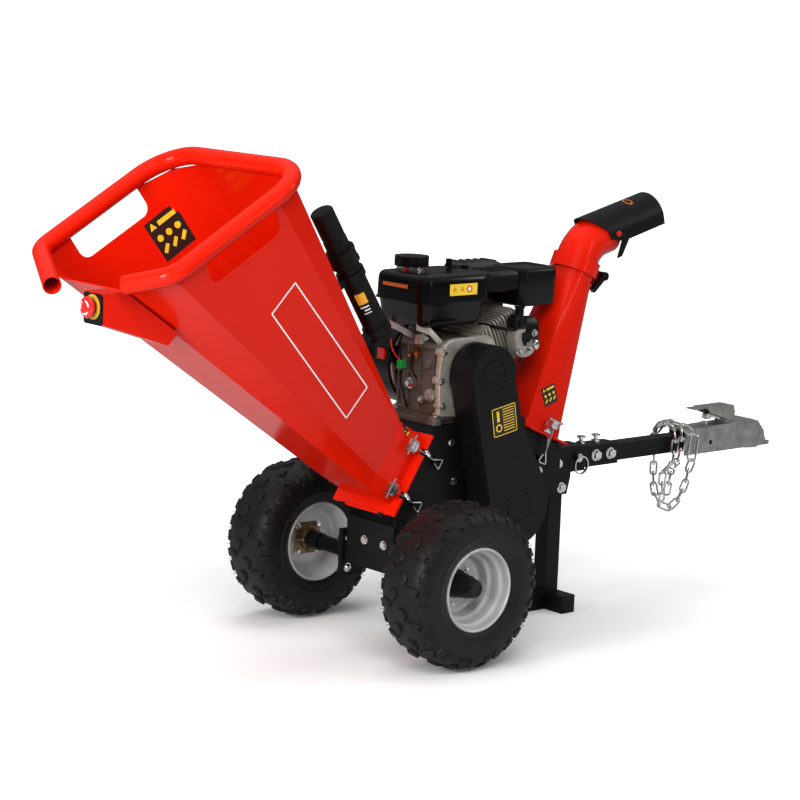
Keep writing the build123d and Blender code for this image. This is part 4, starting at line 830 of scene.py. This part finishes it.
def build_crankcase():
    """Casting details: cover flange, bosses, ribs, feet, oil plug, blower flange, tank brackets and bolts."""
    mesh = bmesh.new()
    # Painted light: the cover flange and its bolt bosses take the paler cast alloy where the light catches
    # them, while the rest of the casting keeps the darker painted-shade copy.
    cast_flange(mesh, smooth(COVER_FLANGE, closed=True), (178, 582),
                ((-66, 1.0), (-76, 1.0), (-79, 0.975), (-79, 0.9)), material=1)
    for x, z in COVER_BOLTS:
        lathe(mesh, at(x, -60, z), NEAR, [(0, 9), (18, 9), (20.5, 7.5)], turns=20, material=1)
    for x, y, z, radius in BOSSES:
        profile = [(0, radius + 2), (5, radius), (9, radius - 2), (10, radius - 5)]
        lathe(mesh, at(x, y, z), BACK, profile, turns=24)
    for y in (-52, -6, 32, 62):
        section = ((100, 502), (93, 506), (94, 640), (100, 648))
        skin(mesh, [[at(x, y + dy, z) for x, z in section] for dy in (-2.5, 2.5)])
    for z in (505, 585, 645):
        section = ((100, -62), (94, -58), (94, 72), (100, 76))
        skin(mesh, [[at(x, y, z + dz) for x, y in section] for dz in (-2, 2)])
    skin(mesh, [round_loop((92, 262), (-66, 82), 646, 20), round_loop((96, 258), (-62, 78), 655, 18),
                round_loop((104, 250), (-54, 70), 660, 14), round_loop((120, 236), (-40, 56), 661, 10)])
    for x, y in ((92, -62), (92, 70), (270, -62), (270, 70)):
        stack(mesh, (x - 10, x + 16), (y - 12, y + 12), [(479, 6), (494, 6, 1), (498, 4, 5)])
    # The first finish is the crankcase's painted shade, and the second is the paler alloy, painted light on
    # the cover flange and its bosses.
    make_piece("crankcase_detail", mesh, [SHADED_CRANKCASE, CAST_ALLOY], "frame", "cast_alloy", sharp=38)
    mesh = bmesh.new()
    for x, z in COVER_BOLTS:
        hexagon(mesh, at(x, -80.5, z), NEAR, 11, 5)
    for x, y in ((96, -62), (96, 70)):
        hexagon(mesh, at(x, y, 498), UP, 12, 6)
    hexagon(mesh, at(91, 20, 560), BACK, 16, 7)
    hexagon(mesh, at(91, -20, 530), BACK, 10, 5)
    make_piece("crankcase_bolts", mesh, ZINC, "frame", "zinc")
    mesh = bmesh.new()
    lathe(mesh, at(100, -48, 541), (-1, 0, 0.25), [(0, 15), (9, 15), (11, 13), (17, 12), (18, 10)], turns=8)
    lathe(mesh, at(104, 0, 655), (-0.4, 0, 1), [(0, 17), (6, 17), (12, 12), (20, 11), (22, 7)], turns=24)
    make_piece("oil_plug", mesh, PALE_ALLOY, "frame", "cast_alloy")
    mesh = bmesh.new()
    x, z = CRANK
    rings = []
    for step in range(25):
        turn = radians(96 + step * 7.5)
        ring = [(84, 78), (92, 78), (93, 81), (92, 84.6), (84, 84.6)]
        rings.append([at(x + radius * cos(turn), y, z + radius * sin(turn)) for radius, y in ring])
    skin(mesh, rings)
    make_piece("blower_flange", mesh, PALE_ALLOY, "frame", "cast_alloy")
    mesh = bmesh.new()
    for path in TANK_BRACKETS:
        section = ((-2, -8), (2, -8), (2, 7), (-2, 7))
        skin(mesh, [[at(x + dx, y, z + dz) for dx, dz in section] for x, y, z in path])
    make_piece("tank_brackets", mesh, PALE_ALLOY, "frame", "cast_alloy")


def build_carburettor():
    """Carburettor, the alloy head flange with its bolts and plug, and the cylinder's skirt fins."""
    mesh = bmesh.new()
    intake = [(0, 12), (4, 12), (5, 10), (30, 10), (34, 12)]
    lathe(mesh, at(336, -62, 726), (-0.1, -0.1, -1), intake, turns=24)
    lathe(mesh, at(322, -50, 690), NEAR, [(0, 14), (8, 20), (28, 21), (34, 19), (36, 12), (42, 11), (43, 8)],
          turns=36)
    skin(mesh, [round_loop((330, 372), (-86, -50), 640, 6), round_loop((326, 376), (-90, -48), 652, 8),
                round_loop((326, 376), (-90, -48), 688, 8), round_loop((334, 370), (-82, -52), 702, 6)])
    lathe(mesh, at(352, -70, 645), DOWN, [(0, 17), (16, 17), (21, 14), (23, 6)], turns=28)
    make_piece("carburettor_body", mesh, PLASTIC, "frame", "black_plastic", "carburettor")
    mesh = bmesh.new()
    outline = [(303, 640), (306, 672), (328, 682), (358, 672), (366, 640), (352, 618), (318, 616)]
    cast_flange(mesh, smooth(outline, closed=True), (335, 648),
                ((-60, 1.0), (-86, 1.0), (-89, 0.95), (-89, 0.7), (-84, 0.6)))
    make_piece("head_flange", mesh, PALE_ALLOY, "frame", "cast_alloy")
    mesh = bmesh.new()
    hexagon(mesh, at(315, -89, 629), NEAR, 13, 7)
    hexagon(mesh, at(358, -89, 668), NEAR, 11, 6)
    plug_line = [(0, 12), (9, 12), (10, 8), (16, 8), (17, 11), (23, 11), (26, 6)]
    lathe(mesh, at(348, -82, 644), (0.25, -0.95, 0), plug_line, turns=20)
    make_piece("head_flange_bolts", mesh, ZINC, "frame", "zinc")
    mesh = bmesh.new()
    along = Vector((cos(radians(25)), 0, sin(radians(25))))
    rise = Vector((-along.z, 0, along.x))
    for out, low, high in ((62, 20, 56), (72, 0, 60), (82, -30, 62), (92, -44, 63)):
        rings = []
        for thick, trim in ((-1.6, 1.5), (-1.1, 0), (1.1, 0), (1.6, 1.5)):
            near, far = -70 + trim, 60 - trim
            corners = ((low + trim, near), (high - trim, near), (high - trim, far), (low + trim, far))
            centre = at(CRANK[0], 0, CRANK[1]) + along * (out + thick) * MM
            rings.append([centre + rise * r * MM + Vector((0, y * MM, 0)) for r, y in corners])
        skin(mesh, rings)
    make_piece("cylinder_skirt_fins", mesh, CAST_ALLOY, "frame", "cast_alloy")


def build_bracket_bolts():
    """Domed bolts through the axle beam's end brackets."""
    mesh = bmesh.new()
    for z in (211, 144):
        lathe(mesh, at(-14, 88, z), NEAR, [(0, 10), (2, 10), (2, 8), (5, 7.4), (8, 5), (9, 0)], turns=24)
    make_piece("bracket_bolts", mesh, ZINC, "frame", "zinc")


# radius and route of each lead that is clipped to the engine at both ends
LEADS = {
    "lead_black_1": (2.2, [(79, 37, 610), (72, 36, 628), (74, 40, 652), (88, 44, 672), (98, 46, 690)]),
    "lead_black_2": (2.2, [(79, 34, 592), (70, 30, 574), (72, 22, 548), (84, 26, 520), (96, 30, 504)]),
    "lead_black_3": (2.2, [(70, 66, 622), (64, 56, 610), (66, 46, 600), (74, 40, 604)]),
    "lead_black_4": (2.2, [(84, 4, 628), (74, 0, 612), (76, -4, 590), (88, -6, 574)]),
    "lead_red": (1.9, [(80, 40, 606), (68, 48, 622), (66, 60, 640), (74, 68, 652)]),
    "fuel_hose": (4.2, [(232, -40, 692), (262, -60, 684), (300, -78, 676), (340, -84, 680)]),
    "spark_lead": (3.6, [
        (392, -20, 690), (404, -46, 676), (396, -64, 650), (352, -78, 628), (322, -84, 606),
    ]),
}


def build_engine_wiring():
    """Oil sensor's brass fitting, its connector, and the short leads and hose."""
    mesh = bmesh.new()
    lathe(mesh, at(98, 6, 628), BACK, [(0, 13), (6, 13), (7, 9), (16, 9), (17, 6), (24, 6), (25, 3)], turns=6)
    lathe(mesh, at(88, -12, 632), BACK, [(0, 7), (10, 7), (11, 4)], turns=16)
    make_piece("brass_fitting", mesh, BRASS, "frame", "machined_steel")
    mesh = bmesh.new()
    stack(mesh, (70, 88), (28, 46), [(592, 4), (606, 4), (610, 3, 2)])
    make_piece("lead_connector", mesh, GREEN_PLASTIC, "frame", "black_plastic")
    for name, (radius, route) in LEADS.items():
        surface, slot = (RED_PLASTIC, "red_plastic") if name == "lead_red" else (PLASTIC, "black_plastic")
        wire(name, route, radius, surface, "frame", slot)


# ---------------------------------------------------------------- labels and marks

WHITE_LINE = 2.8
LINE_LIFT = 0.0006
RIBBON_CAST = -0.6                   # y that rays are cast from, beyond the near side
OUTLINE_CORNERS = [(-411, -193, 833), (-147, -115, 590), (-201, -115, 529), (-464, -189, 773)]
BAR = (0.2, 0.7)                     # bottom and top of a printed shape, in mm over the painted face
FRAME_BAR = (0.4, 0.8)


def ribbon(mesh, node, start, end, width, steps=14):
    """A thin printed line between two points on a CAD face that is seen from the near side."""
    a, b = at(*start), at(*end)
    run = (b - a).normalized()
    rings = []
    for step in range(steps + 1):
        spot = a.lerp(b, step / steps)
        hit, place, normal, _ = NODES[node].ray_cast(Vector((spot.x, RIBBON_CAST, spot.z)), Vector(FAR))
        if not hit:
            raise ValueError(f"the line leaves {node}")
        side = run.cross(normal).normalized() * width / 2 * MM
        low, high = place - normal * LINE_LIFT, place + normal * LINE_LIFT
        rings.append([low - side, low + side, high + side, high - side])
    skin(mesh, rings)


def hazard_patch(name, node, place, width, height, body, plain=False):
    """A black plate with plain yellow shapes: three slanted bars, or a triangle and bar over two rows."""
    mesh = bmesh.new()
    label_sheet(mesh, place, width, height, -0.3, 0.4, node)
    third = height / 3

    def bar(start, end, thick):
        label_strip(mesh, place, start, end, thick, *BAR, 1, node)

    def disc(*shape):
        label_prism(mesh, place, disc_line(*shape), *BAR, 1, node)

    if plain:
        for step in (-1, 0, 1):
            bar((-width * 0.4, step * third - 2), (width * 0.4, step * third + 2), 4)
    else:
        disc(-width * 0.32, third, height * 0.11, 3, pi / 2)
        bar((-width * 0.14, third), (width * 0.42, third), height * 0.11)
        for column in (-0.3, 0.0, 0.3):
            middle_x = width * column
            disc(middle_x, height * 0.03, height * 0.085, 8)
            foot, tip = (middle_x - width * 0.09, -third * 0.95), (middle_x + width * 0.09, -third * 0.5)
            bar(foot, tip, height * 0.09)
    make_piece(name, mesh, [MATT_PRINT, YELLOW_PRINT], body, "black_plastic")


def build_hopper_marks():
    """White outline on the near panel, and a plain hazard patch inside and on the flange."""
    mesh = bmesh.new()
    for start, end in zip(OUTLINE_CORNERS, OUTLINE_CORNERS[1:] + OUTLINE_CORNERS[:1]):
        ribbon(mesh, "hopper_body", start, end, WHITE_LINE)
    make_piece("hopper_outline", mesh, WHITE_PRINT, "hopper", "red_paint")
    inside = flat_frame("hopper_body", (-432, 0, 893), FAR, (-0.54, 0, 0.84))
    hazard_patch("hopper_hazard_patch", "hopper_body", inside, 84, 92, "hopper")
    corner = flat_frame("hopper_body", (-2, -200, 480), FAR, (-0.5, 0, 0.8))
    hazard_patch("flange_hazard_patch", "hopper_body", corner, 10, 30, "hopper", plain=True)


def build_labels():
    """Plain plates and patches where the machine carries its notices. None has lettering."""
    beside = flat_frame("chute_body", (436, -200, 518), FAR, (-0.3, 0, 1))
    hazard_patch("chute_hazard_patch", "chute_body", beside, 44, 44, "chute")
    plate = flat_frame("belt_guard", (216, -300, 494), FAR, (-0.18, 0, 1))
    mesh = bmesh.new()
    label_prism(mesh, plate, rectangle(35, 32), -0.4, 0.5)
    for z in (-31, 31):
        label_strip(mesh, plate, (-35, z), (35, z), 1.6, *FRAME_BAR, 1)
    for x in (-34, 34):
        label_strip(mesh, plate, (x, -32), (x, 32), 1.6, *FRAME_BAR, 1)
    for row in range(9):
        label_strip(mesh, plate, (-4, 25 - row * 6), (29, 25 - row * 6), 1.8, *FRAME_BAR, 1)
    label_prism(mesh, plate, disc_line(-18, -14, 9, 18), *FRAME_BAR, 1)
    label_prism(mesh, plate, disc_line(-18, -14, 6, 18), 0.7, 1.0)
    label_strip(mesh, plate, (-18, 0), (-18, 24), 7, *FRAME_BAR, 1)
    make_piece("guard_plate", mesh, [MATT_PRINT, YELLOW_PRINT], "frame", "black_plastic")
    front = Matrix.Translation(at(TANK_X[0] + 3.4, 26, 779)) @ FACING_BACK
    mesh = bmesh.new()
    label_prism(mesh, front, rectangle(41, 4), -0.5, 0.6)
    make_piece("tank_orange_band", mesh, ORANGE_PRINT, "frame", "engine_black")
    side_face = Matrix.Translation(at(160, TANK_Y[0] + 3.4, 773)) @ FACING_NEAR
    mesh = bmesh.new()
    label_prism(mesh, side_face, rectangle(40, 13), -0.5, 0.6)
    for x in (-26, -4):
        label_prism(mesh, side_face, disc_line(x, 1, 8, 3, pi / 2), 0.5, 0.9, 1)
    label_prism(mesh, side_face, disc_line(17, 1, 8), 0.5, 0.9, 2)
    label_prism(mesh, side_face, disc_line(17, 1, 4.5), 0.8, 1.1, 3)
    inks = [YELLOW_PRINT, OCHRE_PRINT, RED_PRINT, WHITE_PRINT]
    make_piece("tank_yellow_patch", mesh, inks, "frame", "engine_black")


CANISTER_TOP = (-262.0, -85.0, 960.0)
CANISTER_DIR = (0.54, 0.0, -0.842)
CANISTER_SHELL = [
    (95.2, 21), (95.2, 30.5), (97, 32), (103, 32), (104, 30.6), (122, 30.6), (124, 32), (131, 32), (133, 30),
    (136, 26.5), (300, 26.5), (301, 28), (318, 28), (320, 26), (320, 0),
]
CANISTER_CAP = [
    (0, 0), (0, 20), (0.5, 23), (2.5, 25), (60, 25), (62, 24.2), (66, 24.2), (68, 25), (94.6, 25), (94.6, 20),
]
CAP_RIBS = 28
# each print: which finish, its start and end along the tube, and its first and last turn
CANISTER_PRINTS = (
    (0, 196, 222, -24, 24), (1, 228, 231, -20, 22), (1, 236, 239, -20, 8), (1, 244, 246, -20, 16),
)


def build_canister():
    """Moulded tube with end rings, a ribbed screw cap, an amber square and three white bars."""
    top, down = at(*CANISTER_TOP), Vector(CANISTER_DIR).normalized()
    mesh = bmesh.new()
    lathe(mesh, top, down, CANISTER_SHELL)
    make_piece("canister_shell", mesh, MATT_PLASTIC, "hopper", "black_plastic", "canister_tube")
    mesh = bmesh.new()
    lathe(mesh, top, down, CANISTER_CAP)
    first, second = across(down)
    for rib in range(CAP_RIBS):
        turn = 2 * pi * rib / CAP_RIBS
        place = top + (first * cos(turn) + second * sin(turn)) * 0.0245 + down * 0.069
        lathe(mesh, place, down, [(0, 0.8), (1, 1.2), (23, 1.2), (24, 0.8)], turns=5)
    make_piece("canister_screw_cap", mesh, MATT_PLASTIC, "cap", "black_plastic", "canister_cap")
    seen_from = Vector((-0.55, -0.8, -0.35))
    facing = (seen_from - down * seen_from.dot(down)).normalized()
    side = down.cross(facing)
    mesh = bmesh.new()
    for material, start, end, low, high in CANISTER_PRINTS:
        rings = []
        for step in range(9):
            turn = radians(low + (high - low) * step / 8)
            outward = facing * cos(turn) + side * sin(turn)
            corners = ((start, 26.1), (end, 26.1), (end, 26.9), (start, 26.9))
            rings.append([top + down * along * MM + outward * radius * MM for along, radius in corners])
        skin(mesh, rings, material=material)
    make_piece("canister_print", mesh, [AMBER_PRINT, WHITE_PRINT], "hopper", "black_plastic")


E_STOP_Y, E_STOP_Z = -89.0, 796.0
BUTTON_BASE = -805
BUTTON = [
    (0, 10), (23.4, 10), (23.6, 14), (24, 20), (25.4, 21), (29, 21), (32.2, 19), (33.8, 14), (34.5, 7),
    (34.5, 0),
]
BUTTON_ARC = ((11.5, 33.2), (14.2, 32.9), (14.2, 34.3), (11.5, 34.8))


def build_e_stop():
    """Stop button: black front plate, yellow collar and a red mushroom with plain white arcs."""
    plate = Matrix.Translation(at(-818, E_STOP_Y, E_STOP_Z - 8)) @ FACING_BACK
    mesh = bmesh.new()
    outline = [(-31, -22), (-27, -26), (27, -26), (31, -22), (31, 31), (27, 35), (-27, 35), (-31, 31)]
    label_prism(mesh, plate, outline, -1.0, 2.2)
    make_piece("e_stop_plate", mesh, MATT_PLASTIC, "hopper", "black_plastic")
    mesh = bmesh.new()
    lathe(mesh, at(-820, E_STOP_Y, E_STOP_Z), BACK, [(0, 14), (0, 24.5), (0.8, 24.5), (1.2, 22), (1.2, 14)],
          turns=48, closed=True)
    make_piece("e_stop_collar", mesh, OCHRE_PRINT, "hopper", "black_plastic")
    mesh = bmesh.new()
    lathe(mesh, at(BUTTON_BASE, E_STOP_Y, E_STOP_Z), BACK, BUTTON, turns=48)
    for start in (100, 220, 340):
        rings = []
        for turn in (radians(start + step * 9) for step in range(9)):
            rings.append([at(BUTTON_BASE - out, E_STOP_Y + r * cos(turn), E_STOP_Z + r * sin(turn))
                          for r, out in BUTTON_ARC])
        skin(mesh, rings, material=1)
    make_piece("e_stop_mushroom", mesh, [RED_PLASTIC, WHITE_PRINT], "e_stop", "red_plastic", "e_stop_button")


# ---------------------------------------------------------------- safety chain's loose strands

CHAIN_PITCH = 26.0
LINK_HALF, LINK_BEND, LINK_THICK = 9.0, 7.4, 2.9
CHAIN_STRANDS = {
    "chain_strand_near": [
        (896, 33, 352), (898, 30, 381), (903, 12, 397), (905, -8, 397), (904, -28, 385), (900, -35, 362),
        (897, -36, 330), (893, -36, 300), (890, -34, 272), (886, -32, 246), (888, -27, 224),
    ],
    "chain_strand_front": [
        (918, -38, 380), (917, -41, 352), (911, -40, 322), (894, -43, 306), (874, -38, 302), (864, -34, 284),
        (866, -32, 258), (874, -26, 236), (884, -18, 218),
    ],
}


def chain_link(mesh, place, along, roll):
    """One oval link of round wire."""
    direction = along.normalized()
    first, second = across(direction)
    side = first * cos(roll) + second * sin(roll)
    normal = direction.cross(side)
    rings = []
    for step in range(24):
        turn = 2 * pi * step / 24
        shift = LINK_HALF if cos(turn) > 0.01 else (-LINK_HALF if cos(turn) < -0.01 else 0)
        centre = direction * (shift + LINK_BEND * cos(turn)) + side * LINK_BEND * sin(turn)
        out = (direction * cos(turn) + side * sin(turn)).normalized()
        rings.append([
            place + (centre + (out * cos(a) + normal * sin(a)) * LINK_THICK) * MM
            for a in (2 * pi * i / 8 for i in range(8))
        ])
    skin(mesh, rings, closed=True)


def build_chain():
    """The two strands that hang beside the chain's main loop, with every other link turned."""
    for name, route in CHAIN_STRANDS.items():
        guide = bpy.data.objects.new(name, curve_along(name, route, 16))
        line = [v.co.copy() for v in bpy.data.meshes.new_from_object(guide).vertices]
        bpy.data.objects.remove(guide)
        mesh = bmesh.new()
        travelled, wanted, number = 0.0, 0.0, 0
        for before, after in zip(line, line[1:]):
            travelled += (after - before).length
            if travelled >= wanted:
                chain_link(mesh, after, after - before, pi / 4 + (pi / 2 if number % 2 else 0))
                wanted += CHAIN_PITCH * MM
                number += 1
        make_piece(name, mesh, CHAIN, "frame", "zinc")


# ---------------------------------------------------------------- small parts on the hood and the latches

RING_OUTER, RING_INNER = 15, 11.5
RING_SQUASH, RING_BEND = 0.6, 0.010
LATCHES = [*(f"hopper_latch_{number}" for number in (1, 2, 3, 4)), "chute_latch_1", "chute_latch_2"]
ROD_Y = 0.095
ROD_REACH = 0.0026
COIL_TURNS, COIL_STEPS = 9, 12
QUARTERS = (0, pi / 2, pi, 3 * pi / 2)
COIL_LENGTH, COIL_RADIUS, COIL_WIRE = 0.02, 0.004, 0.0009


def build_deflector_details():
    """Pivot bolt heads of the deflector and a plain orange ring on its crown."""
    mesh = bmesh.new()
    for side in (-1, 1):
        hexagon(mesh, at(646, side * 56.5, 875), (0, side, 0), 9, 3.5)
    make_piece("deflector_bolts", mesh, ZINC, "hood", "zinc")
    crown = flat_frame("deflector", (715, -12, 1100), DOWN, (1, 0, 0.2))
    mesh = bmesh.new()
    rings = []
    for radius, height in ((RING_OUTER, -1.6), (RING_OUTER, 0.5), (RING_INNER, 0.5), (RING_INNER, -1.6)):
        rings.append([
            crown @ Vector((x * MM, y * RING_SQUASH * MM, (height - x * x * RING_BEND) * MM))
            for x, y in disc_line(0, 0, radius, 28)
        ])
    skin(mesh, rings, closed=True)
    make_piece("deflector_ring_mark", mesh, ORANGE_PRINT, "hood", "black_paint")


def build_latch_springs():
    """Close-wound springs on the draw rods, beside each latch's bracket."""
    for name in LATCHES:
        rod_y = ROD_Y if middle(name).y > 0 else -ROD_Y
        rod = [v.co for v in NODES[name].data.vertices if abs(v.co.y - rod_y) < ROD_REACH]
        low = min(rod, key=lambda p: p.z)
        high = max(rod, key=lambda p: p.z)
        run = Vector((high.x - low.x, 0, high.z - low.z)).normalized()
        centre = Vector(((high.x + low.x) / 2, rod_y, (high.z + low.z) / 2)) - run * 0.002
        first, second = across(run)
        mesh = bmesh.new()
        rings = []
        for step in range(COIL_TURNS * COIL_STEPS + 1):
            turn = 2 * pi * step / COIL_STEPS
            along = (step / (COIL_TURNS * COIL_STEPS) - 0.5) * COIL_LENGTH
            out = first * cos(turn) + second * sin(turn)
            spot = centre + run * along + out * COIL_RADIUS
            rings.append([spot + (out * cos(a) + run * sin(a)) * COIL_WIRE for a in QUARTERS])
        skin(mesh, rings)
        make_piece(f"{name}_spring", mesh, WIRE, name, "zinc")


make_camera()
make_studio()
paint_nodes()
for wheel_name, wheel_side in (("left", 1), ("right", -1)):
    build_tyre(wheel_name, wheel_side)
    build_rim(wheel_name, wheel_side)
build_tank()
build_air_filter()
build_muffler_guard()
build_crankcase()
build_carburettor()
build_bracket_bolts()
build_engine_wiring()
build_hopper_marks()
build_labels()
build_canister()
build_e_stop()
build_chain()
build_deflector_details()
build_latch_springs()
